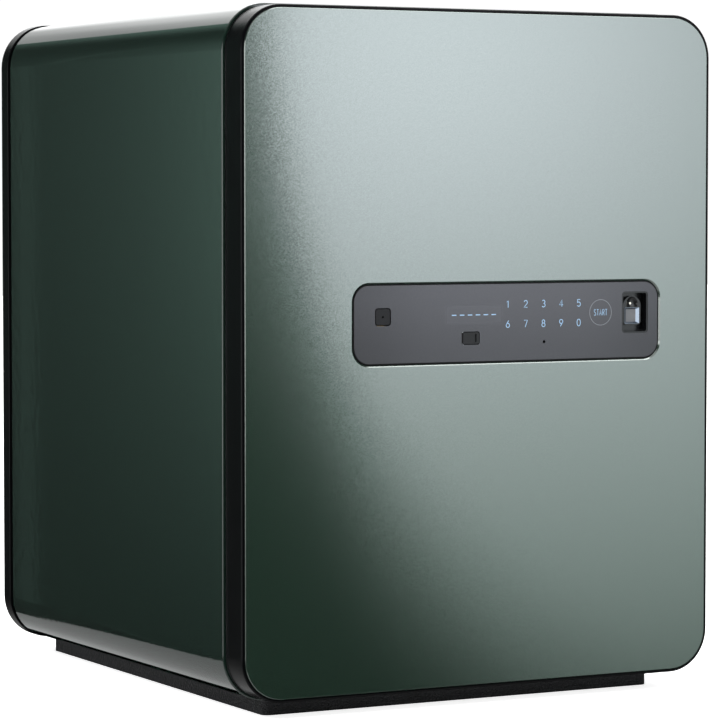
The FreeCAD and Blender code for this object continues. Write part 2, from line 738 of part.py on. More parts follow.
# ---------------------------------------------------------------- control unit in the door front
def key_cover_space(gap, y0, y1):
    half = KEY_COVER_SIZE / 2 + gap
    radius = KEY_COVER_RADIUS + gap
    return upright_prism(KEY_X - half, KEY_X + half, KEY_Z - half, KEY_Z + half, radius, y0, y1)


def port_space(gap, y0, y1):
    return upright_prism(
        PORT_X - PORT_WIDE / 2 - gap, PORT_X + PORT_WIDE / 2 + gap,
        PORT_Z - PORT_HIGH / 2 - gap, PORT_Z + PORT_HIGH / 2 + gap,
        1.2 + gap, y0, y1)


def finger_space(gap, y0, y1):
    return upright_prism(
        FINGER_X - FINGER_WIDE / 2 - gap, FINGER_X + FINGER_WIDE / 2 + gap,
        FINGER_Z - FINGER_HIGH / 2 - gap, FINGER_Z + FINGER_HIGH / 2 + gap,
        FINGER_RADIUS + gap, y0, y1)


def socket_space(half_wide, half_high, y0, y1):
    return box(PORT_X - half_wide, PORT_X + half_wide, y0, y1, PORT_Z - half_high, PORT_Z + half_high)


def sound_hole(radius, start, length):
    return rod(radius, (SOUND_HOLE_X, start, SOUND_HOLE_Z), (0, 1, 0), length)


def port_pin():
    """Thin pin through the flap's barrel, let into the control plate at both ends."""
    reach = PORT_HIGH / 2 + LID_GAP + PORT_PIN_REACH
    return rod(PORT_PIN_RADIUS, (PORT_AXIS_X, PORT_AXIS_Y, PORT_Z - reach), (0, 0, 1), reach * 2)


def control_plate():
    front, back = CONTROL_FRONT, CONTROL_SEAT
    plate = control_cutout(-CONTROL_GAP, front, back)
    plate = plate.makeChamfer(CONTROL_PLATE_CHAMFER, level_edges(plate, front))
    tools = [
        key_cover_space(LID_GAP, front - 1, back + 1),
        port_space(LID_GAP, front - 1, back + 1),
        finger_space(0, front - 1, back + 1),
        sound_hole(SOUND_HOLE_RADIUS, front - 1, 4),
        port_pin(),
    ]
    return cut_all(plate, tools)


def control_housing():
    """Moulded box behind the control plate; its rim is the black reveal."""
    seat = CONTROL_SEAT
    pocket = CYLINDER_RADIUS + 2.5
    left, right = KEY_X - pocket, KEY_X + pocket
    housing = control_cutout(0, CONTROL_FRONT + HOUSING_RIM_BACK, HOUSING_REAR)
    housing = housing.cut(control_cutout(-CONTROL_GAP, FRONT, seat))
    housing = housing.cut(control_cutout(-HOUSING_WALL, seat + 2.5, HOUSING_REAR - 2))
    wells = [
        upright_prism(left, right, KEY_Z - pocket, KEY_Z + pocket, 2, seat + 2, HOUSING_REAR - 1),
        port_space(4, seat + 2, HOUSING_REAR - 1),
        finger_space(2, seat + 2, HOUSING_REAR - 1),
    ]
    housing = joined([housing] + wells)
    tools = [
        key_cover_space(LID_GAP, seat - 1, seat + 2.4),
        rod(CYLINDER_RADIUS, (KEY_X, seat, KEY_Z), (0, 1, 0), 30),
        port_space(LID_GAP, seat - 1, seat + 2.0),
        socket_space(SOCKET_HALF_WIDE, SOCKET_HALF_HIGH, seat, HOUSING_REAR - 3),
        finger_space(0, seat - 1, FINGER_FLOOR + LINING_BACK),
        sound_hole(SOUND_HOLE_RADIUS, seat - 1, 5),
        rod(CABLE_HOLE_RADIUS, (CABLE_X, HOUSING_REAR - 4, CABLE_Z), (0, 1, 0), 6),
    ]
    return cut_all(housing, tools)


def control_board():
    """Circuit board with the touch electrodes, standing behind the keys."""
    front = CONTROL_SEAT + 3.0
    back = front + BOARD_THICK
    board = box(BOARD_LEFT, BOARD_RIGHT, front, back, BOARD_LOW, BOARD_HIGH)
    chips = [
        box(20, 32, back, back + 1.4, 288, 300),
        box(60, 68, back, back + 1.2, 292, 300),
        box(84, 92, back, back + 2.0, 270, 276),
    ]
    return joined([board] + chips).cut(sound_hole(BUZZER_RADIUS + 0.3, front - 1, 4))


def buzzer():
    front = CONTROL_SEAT + 2.6
    return sound_hole(BUZZER_RADIUS, front, 5).cut(sound_hole(1.0, front - 1, 2))


def rectangle(half_wide, half_high, y):
    """Closed wire around the sensor's middle, in the plane at this y."""
    corners = []
    for side, rise in ((-1, -1), (1, -1), (1, 1), (-1, 1), (-1, -1)):
        corners.append(Vector(FINGER_X + side * half_wide, y, SENSOR_Z + rise * half_high))
    return Part.makePolygon(corners)


def sensor_block(half_wide, half_high, y0, y1):
    return box(
        FINGER_X - half_wide, FINGER_X + half_wide, y0, y1, SENSOR_Z - half_high, SENSOR_Z + half_high)


def finger_guide():
    """Lining of the finger recess, with a raised oval that holds a dished finger rest and the sensor."""
    lining = finger_space(0, CONTROL_FRONT + LINING_SET_BACK, FINGER_FLOOR + LINING_BACK)
    lining = lining.cut(finger_space(-LINING_WALL, CONTROL_FRONT - 1, FINGER_FLOOR))
    arch = rod(BOSS_HALF, (FINGER_X, BOSS_FRONT, BOSS_ARCH_Z), (0, 1, 0), FINGER_FLOOR - BOSS_FRONT)
    lower = upright_prism(
        FINGER_X - BOSS_HALF, FINGER_X + BOSS_HALF, BOSS_BOTTOM, BOSS_ARCH_Z + BOSS_RADIUS,
        BOSS_RADIUS, BOSS_FRONT, FINGER_FLOOR)
    scoop = Part.makeSphere(SCOOP_RADIUS, Vector(FINGER_X, BOSS_FRONT + SCOOP_DEEP - SCOOP_RADIUS, LED_Z))
    boss = joined([arch, lower]).cut(scoop)
    frame = upright_prism(
        FINGER_X - FRAME_HALF_WIDE, FINGER_X + FRAME_HALF_WIDE,
        SENSOR_Z - FRAME_HALF_HIGH, SENSOR_Z + FRAME_HALF_HIGH,
        FRAME_RADIUS, BOSS_FRONT - FRAME_PROUD, FINGER_FLOOR)
    pocket = sensor_block(BEZEL_HALF_WIDE, BEZEL_HALF_HIGH, CONTROL_FRONT, SENSOR_REAR)
    led_hole = rod(LED_RADIUS + 0.02, (FINGER_X, CONTROL_FRONT, LED_Z), (0, 1, 0), 12)
    return cut_all(joined([lining, boss, frame]), [pocket, led_hole])


def sensor_bezel():
    """Polished frame whose four bevels fall towards the sensor."""
    front = BOSS_FRONT - FRAME_PROUD
    bevel = Part.makeLoft([
        rectangle(BEZEL_HALF_WIDE - 0.1, BEZEL_HALF_HIGH - 0.1, front),
        rectangle(SENSOR_HALF_WIDE, SENSOR_HALF_HIGH, front + BEZEL_DEEP),
    ], True)
    return sensor_block(BEZEL_HALF_WIDE, BEZEL_HALF_HIGH, front, front + BEZEL_DEEP).cut(bevel)


def fingerprint_sensor():
    return sensor_block(BEZEL_HALF_WIDE - 1, BEZEL_HALF_HIGH - 0.5, SENSOR_REAR - SENSOR_THICK, SENSOR_REAR)


def status_led():
    """Domed lamp at the bottom of the finger rest."""
    middle = BOSS_FRONT + SCOOP_DEEP + 0.4
    dome = Part.makeSphere(LED_RADIUS, Vector(FINGER_X, middle, LED_Z))
    stem = rod(LED_RADIUS, (FINGER_X, middle, LED_Z), (0, 1, 0), FINGER_FLOOR + 2 - middle)
    return joined([stem, dome])


def key_cover():
    """Square push-in plug over the emergency keyway, with a skirt behind and a hole for pulling it out."""
    front = CONTROL_FRONT + 0.1
    back = front + KEY_COVER_THICK
    cover = key_cover_space(0, front, back)
    cover = cover.makeChamfer(0.4, level_edges(cover, front))
    cover = joined([cover, key_cover_space(LID_GAP - KEY_SKIRT_GAP, back - KEY_SKIRT_THICK, back)])
    return cover.cut(rod(PULL_HOLE_RADIUS, (KEY_X, front - 1, KEY_Z), (0, 1, 0), 3))


def key_cylinder():
    front = CONTROL_SEAT + 2.4
    body = rod(CYLINDER_RADIUS, (KEY_X, front, KEY_Z), (0, 1, 0), CYLINDER_REAR - front)
    return body.cut(rod(PLUG_RADIUS + RUNNING_GAP, (KEY_X, front - 1, KEY_Z), (0, 1, 0), 60))


def key_plug():
    """Turning core of the emergency lock, with its cam on the inner end."""
    front = CONTROL_SEAT + 2.6
    cam_front = CYLINDER_REAR + CAM_GAP
    core = rod(PLUG_RADIUS, (KEY_X, front, KEY_Z), (0, 1, 0), cam_front - front)
    core = core.cut(box(KEY_X - 0.9, KEY_X + 0.9, front - 1, front + 14, KEY_Z - 3.6, KEY_Z + 3.6))
    cam = upright_prism(
        KEY_X - PLUG_RADIUS, KEY_X + PLUG_RADIUS, KEY_Z - CAM_DROP, KEY_Z + PLUG_RADIUS,
        4.5, cam_front, cam_front + CAM_THICK)
    return joined([core, cam])


def power_port():
    """Socket for an outside battery, behind its cover."""
    front = CONTROL_SEAT + 2.4
    sleeve = socket_space(SOCKET_HALF_WIDE, SOCKET_HALF_HIGH, front, front + 8)
    sleeve = sleeve.cut(socket_space(SOCKET_HALF_WIDE - 0.4, SOCKET_HALF_HIGH - 0.4, front - 1, front + 6))
    tongue = socket_space(3.3, 0.35, front + 1, front + 7)
    return joined([sleeve, tongue])


def power_port_cover():
    """Flap with a hinge barrel along its left edge and a finger-nail slot near its right edge."""
    front, back = CONTROL_FRONT, CONTROL_FRONT + PORT_COVER_THICK
    barrel_half = PORT_HIGH / 2 - LID_GAP
    foot = (PORT_AXIS_X, PORT_AXIS_Y, PORT_Z - barrel_half)
    barrel = rod(PORT_COVER_THICK / 2, foot, (0, 0, 1), barrel_half * 2)
    leaf = port_space(0, front, back)
    leaf = leaf.cut(box(CONTROL_LEFT, PORT_AXIS_X, front - 1, back + 1, CONTROL_BOTTOM, CONTROL_TOP))
    nail_x = PORT_X + PORT_WIDE / 2 - 3.0
    slot = box(nail_x - 0.8, nail_x + 0.8, front - 1, front + 1.0, PORT_Z - 3, PORT_Z + 3)
    bore = rod(PORT_PIN_RADIUS + RUNNING_GAP, (PORT_AXIS_X, PORT_AXIS_Y, CONTROL_BOTTOM), (0, 0, 1), HEIGHT)
    return joined([leaf, barrel]).cut(slot).cut(bore)


# ---------------------------------------------------------------- door plug and boltwork
def tray_block(inset, y0, y1):
    half = CAVITY_HALF - TRAY_GAP - inset
    low = CAVITY_BOTTOM + TRAY_RISE + inset
    high = CAVITY_TOP - TRAY_RISE - inset
    return upright_prism(-half, half, low, high, TRAY_RADIUS - inset, y0, y1)


def door_tray():
    tray = tray_block(0, DOOR_REAR, TRAY_REAR)
    tray = tray.cut(tray_block(TRAY_THICK, DOOR_REAR - 1, TRAY_REAR + 1))
    left = -CAVITY_HALF + TRAY_GAP
    return cut_all(tray, bolt_tunnels(BOLT_RADIUS + 0.3, left - 5, left + 5))


def cover_screw_points():
    return [(side * COVER_SCREW_X, z) for side in (-1, 1) for z in COVER_SCREW_HEIGHTS]


def door_inner_cover():
    cover = tray_block(0, TRAY_REAR, INNER_COVER_FACE)
    tools = [battery_opening(BATTERY_COVER_GAP, TRAY_REAR - 1, TRAY_REAR + 5)]
    tools += [rod(COVER_SCREW_RADIUS, (x, TRAY_REAR - 1, z), (0, 1, 0), 5) for x, z in cover_screw_points()]
    tools.append(rod(BUTTON_RADIUS + 0.1, (BUTTON_X, TRAY_REAR - 1, BUTTON_Z), (0, 1, 0), 5))
    return cut_all(cover, tools)


def cover_posts():
    """Posts that the inner cover screws into."""
    posts = []
    for x, z in cover_screw_points():
        post = rod(POST_RADIUS, (x, DOOR_REAR, z), (0, 1, 0), TRAY_REAR - DOOR_REAR)
        posts.append(post.cut(rod(COVER_SCREW_RADIUS, (x, TRAY_REAR - 10, z), (0, 1, 0), 12)))
    return posts


def inner_cover_screws():
    radius, face = COVER_SCREW_RADIUS, INNER_COVER_FACE
    return [screw(3.2, 1.6, radius, 10, (x, face, z), (0, -1, 0)) for x, z in cover_screw_points()]


def battery_opening(gap, y0, y1):
    return upright_prism(
        BATTERY_X - BATTERY_WIDE / 2 - gap, BATTERY_X + BATTERY_WIDE / 2 + gap,
        BATTERY_Z - BATTERY_HIGH / 2 - gap, BATTERY_Z + BATTERY_HIGH / 2 + gap,
        BATTERY_RADIUS + gap, y0, y1)


def battery_box():
    wall = BATTERY_BOX_WALL
    outer = battery_opening(wall, TRAY_REAR - BATTERY_BOX_DEEP, TRAY_REAR)
    return outer.cut(battery_opening(BATTERY_COVER_GAP, TRAY_REAR - BATTERY_BOX_DEEP + wall, TRAY_REAR + 1))


def batteries():
    """Four AA cells side by side."""
    cells = []
    for index in range(4):
        x = BATTERY_X + (index - 1.5) * CELL_PITCH
        y = TRAY_REAR - CELL_DEPTH
        base = BATTERY_Z - 25
        can = rod(CELL_RADIUS, (x, y, base), (0, 0, 1), CELL_LONG)
        nub = rod(2.6, (x, y, base + CELL_LONG), (0, 0, 1), 1.0)
        cells.append(joined([can, nub]))
    return cells


def battery_cover():
    """Cover that draws straight out of the inner cover."""
    cover = battery_opening(0, TRAY_REAR + 0.2, INNER_COVER_FACE)
    grip = upright_prism(
        BATTERY_X - 12, BATTERY_X + 12, BATTERY_Z + 20, BATTERY_Z + 24, 1.5,
        INNER_COVER_FACE, INNER_COVER_FACE + 1.5)
    return joined([cover, grip])


def enrol_button():
    crown_y = INNER_COVER_FACE + BUTTON_PROUD
    button = rod(BUTTON_RADIUS, (BUTTON_X, crown_y, BUTTON_Z), (0, -1, 0), BUTTON_LONG)
    crown = [edge for edge in button.Edges if abs(edge.BoundBox.YMin - crown_y) < 1e-4]
    return button.makeFillet(0.6, crown)


def button_board():
    top = TRAY_REAR - 5
    plate = box(BUTTON_X - 12, BUTTON_X + 12, top - BOARD_THICK, top, BUTTON_Z - 10, BUTTON_Z + 10)
    legs = []
    for dx in (-9, 9):
        for dz in (-7, 7):
            legs.append(rod(2.5, (BUTTON_X + dx, DOOR_REAR, BUTTON_Z + dz), (0, 1, 0), top - DOOR_REAR))
    return joined([plate] + legs)


def locking_bolts():
    bolts = []
    for z in BOLT_HEIGHTS:
        bolt = rod(BOLT_RADIUS, (BOLT_TIP_X, BOLT_Y, z), (1, 0, 0), BAR_LEFT - BOLT_TIP_X)
        nose = [edge for edge in bolt.Edges if abs(edge.BoundBox.XMax - BOLT_TIP_X) < 1e-4]
        bolt = bolt.makeChamfer(BOLT_CHAMFER, nose)
        stud = rod(STUD_RADIUS, (BAR_LEFT - 1, BOLT_Y, z), (1, 0, 0), BAR_RIGHT - BAR_LEFT + 1)
        bolts.append(joined([bolt, stud]))
    return bolts


def bolt_nuts():
    nuts = []
    for z in BOLT_HEIGHTS:
        points = []
        for corner in range(7):
            angle = math.radians(60 * corner)
            across, up = NUT_RADIUS * math.cos(angle), NUT_RADIUS * math.sin(angle)
            points.append(Vector(BAR_RIGHT, BOLT_Y + across, z + up))
        blank = Part.Face(Part.makePolygon(points)).extrude(Vector(NUT_THICK, 0, 0))
        nuts.append(blank.cut(rod(STUD_RADIUS, (BAR_RIGHT - 1, BOLT_Y, z), (1, 0, 0), NUT_THICK + 2)))
    return nuts


def bolt_bar():
    bar = box(BAR_LEFT, BAR_RIGHT, BOLT_Y - BAR_HALF, BOLT_Y + BAR_HALF, BAR_LOW, BAR_HIGH)
    bar = bar.makeFillet(4.0, edges_along(bar, Vector(1, 0, 0)))
    return cut_all(bar, [rod(STUD_RADIUS, (BAR_LEFT - 1, BOLT_Y, z), (1, 0, 0), 10) for z in BOLT_HEIGHTS])


def bolt_guides():
    """Guide blocks fixed inside the plug wall, one around each bolt."""
    left = -CAVITY_HALF + TRAY_GAP + TRAY_THICK
    bore = BOLT_RADIUS + RUNNING_GAP
    guides = []
    for z in BOLT_HEIGHTS:
        block = box(left, left + GUIDE_LONG, DOOR_REAR, BOLT_Y + GUIDE_HALF, z - GUIDE_HALF, z + GUIDE_HALF)
        guides.append(block.cut(rod(bore, (left - 1, BOLT_Y, z), (1, 0, 0), GUIDE_LONG + 2)))
    return guides


# ---------------------------------------------------------------- bolt drive: motor, pinion and rack
def involute(base_radius, roll):
    return (base_radius * (math.cos(roll) + roll * math.sin(roll)),
            base_radius * (math.sin(roll) - roll * math.cos(roll)))


def pinion_outline():
    """Corner points of an involute spur gear, one tooth pointing straight down."""
    pitch_radius = GEAR_MODULE * GEAR_TEETH / 2
    base_radius = pitch_radius * math.cos(PRESSURE_ANGLE)
    tip_radius = pitch_radius + GEAR_MODULE
    root_radius = pitch_radius - DEDENDUM * GEAR_MODULE
    half_tooth = (math.pi * GEAR_MODULE / 2 - GEAR_BACKLASH / 2) / 2 / pitch_radius
    base_half = half_tooth + math.tan(PRESSURE_ANGLE) - PRESSURE_ANGLE
    tip_roll = math.sqrt((tip_radius / base_radius) ** 2 - 1)
    points = []
    for tooth in range(GEAR_TEETH):
        middle = -math.pi / 2 + tooth * 2 * math.pi / GEAR_TEETH
        flank = []
        for step in range(6):
            x, y = involute(base_radius, tip_roll * step / 5)
            flank.append((math.hypot(x, y), base_half - math.atan2(y, x)))
        profile = [(root_radius, -base_half)]
        profile += [(radius, -offset) for radius, offset in flank]
        profile += [(radius, offset) for radius, offset in reversed(flank)]
        profile.append((root_radius, base_half))
        for radius, offset in profile:
            angle = middle + offset
            points.append(Vector(
                GEAR_X + radius * math.cos(angle), GEAR_FRONT, GEAR_Z + radius * math.sin(angle)))
    points.append(points[0])
    return points


def drive_pinion():
    gear = Part.Face(Part.makePolygon(pinion_outline())).extrude(Vector(0, GEAR_REAR - GEAR_FRONT, 0))
    hub = rod(GEAR_HUB_RADIUS, (GEAR_X, GEAR_REAR, GEAR_Z), (0, 1, 0), GEAR_HUB_LONG)
    return joined([gear, hub]).cut(rod(SHAFT_RADIUS, (GEAR_X, GEAR_FRONT - 1, GEAR_Z), (0, 1, 0), 12))


def motor_shaft():
    return rod(SHAFT_RADIUS, (GEAR_X, SHAFT_FRONT, GEAR_Z), (0, 1, 0), SHAFT_LONG)


def drive_rack():
    """Straight rack that pulls the bolt bar, its teeth up under the pinion."""
    pitch_line = GEAR_Z - GEAR_MODULE * GEAR_TEETH / 2
    pitch = math.pi * GEAR_MODULE
    root = pitch_line - DEDENDUM * GEAR_MODULE
    tip = pitch_line + GEAR_MODULE
    half_tooth = pitch / 4 - GEAR_BACKLASH / 4
    slope = math.tan(PRESSURE_ANGLE)
    low = half_tooth + slope * DEDENDUM * GEAR_MODULE
    high = half_tooth - slope * GEAR_MODULE
    after = math.ceil(BOLT_THROW / pitch) + RACK_TEETH_BEFORE
    teeth = []
    for index in range(-RACK_TEETH_BEFORE, after):
        middle = GEAR_X + pitch * (index + 0.5)
        corners = [(middle - low, root - 0.2), (middle - low, root), (middle - high, tip),
                   (middle + high, tip), (middle + low, root), (middle + low, root - 0.2)]
        points = [Vector(x, GEAR_FRONT, z) for x, z in corners]
        points.append(points[0])
        teeth.append(Part.Face(Part.makePolygon(points)).extrude(Vector(0, GEAR_REAR - GEAR_FRONT, 0)))
    end = GEAR_X + pitch * (after + 0.2)
    beam = box(BAR_RIGHT, end, GEAR_FRONT, GEAR_REAR, root - RACK_BACK_HIGH, root)
    foot = box(BAR_RIGHT, BAR_RIGHT + 3, BOLT_Y - 8, BOLT_Y + 8, root - 12, root + 2)
    return joined([beam, foot] + teeth)


def lock_motor():
    body = rod(MOTOR_RADIUS, (GEAR_X, DOOR_REAR, GEAR_Z), (0, 1, 0), MOTOR_LONG)
    boss = rod(MOTOR_BOSS_RADIUS, (GEAR_X, DOOR_REAR + MOTOR_LONG, GEAR_Z), (0, 1, 0), 1.0)
    bore = rod(SHAFT_RADIUS + RUNNING_GAP, (GEAR_X, SHAFT_FRONT - RUNNING_GAP, GEAR_Z), (0, 1, 0), 10)
    return joined([body, boss]).cut(bore)


def motor_bracket():
    """Bridge over the motor's end, standing on two feet."""
    top = DOOR_REAR + MOTOR_LONG
    thick = BRACKET_THICK
    low, high = GEAR_Z - 1, GEAR_Z + BRACKET_HALF
    plate = box(GEAR_X - BRACKET_HALF, GEAR_X + BRACKET_HALF, top, top + thick, low, high)
    feet = []
    for side in (-1, 1):
        middle = GEAR_X + side * BRACKET_HALF
        feet.append(box(middle - thick, middle + thick, DOOR_REAR, top + thick, low, high))
    return joined([plate] + feet).cut(rod(MOTOR_BOSS_RADIUS, (GEAR_X, top - 1, GEAR_Z), (0, 1, 0), 4))


def wiring_harness():
    """Cable from the control unit down to the battery box."""
    drop = DOOR_REAR + 6
    level = BATTERY_Z + BATTERY_HIGH / 2 + 10
    path = [
        Vector(CABLE_X, HOUSING_REAR - 6, CABLE_Z),
        Vector(CABLE_X, drop, CABLE_Z),
        Vector(CABLE_X, drop, level),
        Vector(CABLE_X - 30, drop, level),
    ]
    pieces = []
    for start, end in zip(path, path[1:]):
        run = end - start
        pieces.append(Part.makeCylinder(CABLE_RADIUS, run.Length, start, run))
        pieces.append(Part.makeSphere(CABLE_RADIUS, end))
    return joined(pieces)


# ---------------------------------------------------------------- write the nodes
def main():
    os.makedirs("parts", exist_ok=True)
    save(outer_shell(), "outer_shell")
    save(rear_ring(), "rear_trim_ring")
    save(rear_panel(), "rear_panel")
    save(rear_panel_screws(), "rear_panel_screws")
    save(fire_insulation(), "fire_insulation")
    save(inner_liner(), "inner_liner")
    save(strike_plate(), "strike_plate")
    save(front_frame(), "front_frame")
    save(shelf_pegs(), "shelf_pegs")
    save(shelf(), "shelf")
    save(shelf_mat(), "shelf_mat")
    save(floor_mat(), "floor_mat")
    save(plinth(), "plinth")
    save(base_pads(), "base_pads")
    save(plinth_screws(), "plinth_screws")
    save([hinge_bracket(height) for height in HINGE_HEIGHTS], "hinge_brackets")
    save(hinge_screws(), "hinge_screws")
    save(hinge_pins(), "hinge_pins")
    save(hinge_bushes(), "hinge_bushes")
    save(door_hinge_blocks(), "door_hinge_blocks")
    save(door_trim_ring(), "door_trim_ring")
    save(door_panel(), "door_panel")
    save(door_core(), "door_core")
    save(door_back_plate(), "door_back_plate")
    save(door_seal(), "door_seal")
    save(door_tray(), "door_tray")
    save(door_inner_cover(), "door_inner_cover")
    save(cover_posts(), "cover_posts")
    save(inner_cover_screws(), "inner_cover_screws")
    save(control_plate(), "control_plate")
    save(control_housing(), "control_housing")
    save(control_board(), "control_board")
    save(buzzer(), "buzzer")
    save(finger_guide(), "finger_guide")
    save(sensor_bezel(), "sensor_bezel")
    save(fingerprint_sensor(), "fingerprint_sensor")
    save(status_led(), "status_led")
    save(key_cover(), "key_cover")
    save(key_cylinder(), "key_cylinder")
    save(key_plug(), "key_plug")
    save(power_port(), "power_port")
    save(power_port_cover(), "power_port_cover")
    save(port_pin(), "port_pin")
    save(battery_box(), "battery_box")
    save(batteries(), "batteries")
    save(battery_cover(), "battery_cover")
    save(enrol_button(), "enrol_button")
    save(button_board(), "button_board")
    save(locking_bolts(), "locking_bolts")
    save(bolt_nuts(), "bolt_nuts")
    save(bolt_bar(), "bolt_bar")
    save(bolt_guides(), "bolt_guides")
    save(drive_pinion(), "drive_pinion")
    save(motor_shaft(), "motor_shaft")
    save(drive_rack(), "drive_rack")
    save(lock_motor(), "lock_motor")
    save(motor_bracket(), "motor_bracket")
    save(wiring_harness(), "wiring_harness")


main()
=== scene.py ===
import json
import math

import bmesh
import bpy
from mathutils import Matrix, Vector


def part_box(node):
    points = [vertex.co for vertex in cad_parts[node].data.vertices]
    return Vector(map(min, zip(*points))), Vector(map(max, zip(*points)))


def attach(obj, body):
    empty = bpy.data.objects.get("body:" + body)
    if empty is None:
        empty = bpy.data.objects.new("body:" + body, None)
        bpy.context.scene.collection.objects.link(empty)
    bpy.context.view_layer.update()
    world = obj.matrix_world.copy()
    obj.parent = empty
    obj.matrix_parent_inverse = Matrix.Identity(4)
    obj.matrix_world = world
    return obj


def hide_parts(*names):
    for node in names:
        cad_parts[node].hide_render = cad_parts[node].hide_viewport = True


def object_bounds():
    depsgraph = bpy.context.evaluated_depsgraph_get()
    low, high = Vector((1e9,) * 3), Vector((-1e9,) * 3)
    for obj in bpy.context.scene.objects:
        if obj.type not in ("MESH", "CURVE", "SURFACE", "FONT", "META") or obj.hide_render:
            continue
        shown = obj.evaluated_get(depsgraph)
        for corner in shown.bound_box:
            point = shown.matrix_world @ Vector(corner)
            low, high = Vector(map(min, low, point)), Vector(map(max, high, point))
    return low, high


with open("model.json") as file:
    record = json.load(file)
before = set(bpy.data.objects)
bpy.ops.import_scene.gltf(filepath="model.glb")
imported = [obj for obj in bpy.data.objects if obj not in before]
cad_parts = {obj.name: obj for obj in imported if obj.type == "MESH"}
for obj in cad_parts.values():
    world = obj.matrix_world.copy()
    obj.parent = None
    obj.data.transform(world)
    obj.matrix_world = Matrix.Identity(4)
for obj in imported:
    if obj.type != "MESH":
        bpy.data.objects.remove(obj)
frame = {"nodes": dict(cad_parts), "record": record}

CAD_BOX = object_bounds()
MM = 0.001
EULER = 2.718                # base of every exponential fall-off below

# ---------------------------------------------------------------- places taken from the frame
PLATE_LOW, PLATE_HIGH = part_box("control_plate")
PLATE_FRONT = PLATE_LOW.y
DOOR_LOW, DOOR_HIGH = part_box("door_panel")


# ---------------------------------------------------------------- node-graph helper
class Graph:
    """A node tree with short calls for adding and joining nodes."""

    def __init__(self, tree):
        self.tree = tree
        tree.nodes.clear()

    def add(self, kind, inputs=None, **settings):
        node = self.tree.nodes.new("ShaderNode" + kind)
        for key, value in settings.items():
            setattr(node, key, value)
        for key, value in (inputs or {}).items():
            self.feed(node.inputs[key], value)
        return node

    def feed(self, socket, value):
        if isinstance(value, bpy.types.NodeSocket):
            self.tree.links.new(value, socket)
        elif isinstance(value, bpy.types.Node):
            self.tree.links.new(value.outputs[0], socket)
        elif socket.type == "RGBA" and len(value) == 3:
            socket.default_value = (*value, 1.0)
        else:
            socket.default_value = value

    def math(self, operation, a, b=0.0, c=0.0):
        node = self.add("Math", operation=operation)
        for socket, value in zip(node.inputs, (a, b, c)):
            self.feed(socket, value)
        return node.outputs[0]

    def vector(self, operation, a, b=(0, 0, 0)):
        node = self.add("VectorMath", operation=operation)
        self.feed(node.inputs[0], a)
        self.feed(node.inputs[1], b)
        return node

    def ramp(self, value, low, high, start=0.0, end=1.0):
        """A smooth step from start to end as value goes from low to high."""
        node = self.add("MapRange", {"Value": value, "From Min": low, "From Max": high,
                                     "To Min": start, "To Max": end}, interpolation_type="SMOOTHSTEP")
        return node.outputs[0]

    def mix_color(self, amount, a, b):
        node = self.add("Mix", data_type="RGBA")
        self.feed(node.inputs[0], amount)
        self.feed(node.inputs[6], a)
        self.feed(node.inputs[7], b)
        return node.outputs[2]

    def place(self):
        return self.add("TexCoord").outputs["Object"]

    def stretched(self, scale):
        return self.vector("MULTIPLY", self.place(), scale).outputs[0]

    def noise(self, size, detail=3.0, rough=0.5, vector=None):
        """Soft noise whose features are about this size, in metres."""
        return self.add("TexNoise", {"Vector": vector or self.place(), "Scale": 1 / size,
                                     "Detail": detail, "Roughness": rough})

    def cells(self, size, vector=None, feature="F1"):
        return self.add("TexVoronoi", {"Vector": vector or self.place(), "Scale": 1 / size}, feature=feature)

    def bump(self, height, depth):
        """Depth is the height of a full-range step, in metres."""
        return self.add("Bump", {"Height": height, "Distance": depth, "Strength": 1.0}).outputs[0]

    def sparkle(self, size, spread):
        """The surface normal, tipped at random from one tiny flake to the next."""
        tip = self.vector("SUBTRACT", self.cells(size).outputs["Color"], (0.5, 0.5, 0.5)).outputs[0]
        tip = self.vector("MULTIPLY", tip, (spread, spread, spread)).outputs[0]
        normal = self.add("NewGeometry").outputs["Normal"]
        return self.vector("NORMALIZE", self.vector("ADD", normal, tip).outputs[0]).outputs[0]


def material(name):
    """A new material and the graph of its nodes."""
    made = bpy.data.materials.new(name)
    made.use_nodes = True
    return made, Graph(made.node_tree)


def finish_material(graph, shader):
    graph.add("OutputMaterial", {"Surface": shader})


def principled(graph, **values):
    """A principled shader, its inputs given by short names."""
    names = {"color": "Base Color", "metallic": "Metallic", "roughness": "Roughness",
             "normal": "Normal", "coat": "Coat Weight", "coat_roughness": "Coat Roughness",
             "coat_normal": "Coat Normal", "specular": "Specular IOR Level", "sheen": "Sheen Weight",
             "sheen_roughness": "Sheen Roughness", "emission": "Emission Color",
             "emission_strength": "Emission Strength"}
    return graph.add("BsdfPrincipled", {names[key]: value for key, value in values.items()}).outputs[0]


# ---------------------------------------------------------------- materials
GROUND_SHARE = 0.35          # how much of the door's paint is plain ground colour


def shell_paint():
    """Deep gloss green: dark flake base under a clear coat with faint orange peel."""
    made, g = material("shell_paint")
    drift = g.noise(0.18, detail=2.0).outputs[0]
    color = g.mix_color(drift, (0.0048, 0.0117, 0.0085), (0.0056, 0.0135, 0.0098))
    peel = g.bump(g.noise(0.009, detail=1.0).outputs[0], 0.00002)
    shader = principled(g, color=color, specular=0.0, roughness=0.6, normal=g.sparkle(0.0004, 0.25),
                        coat=1.0, coat_roughness=0.025, coat_normal=peel)
    finish_material(g, shader)
    return made


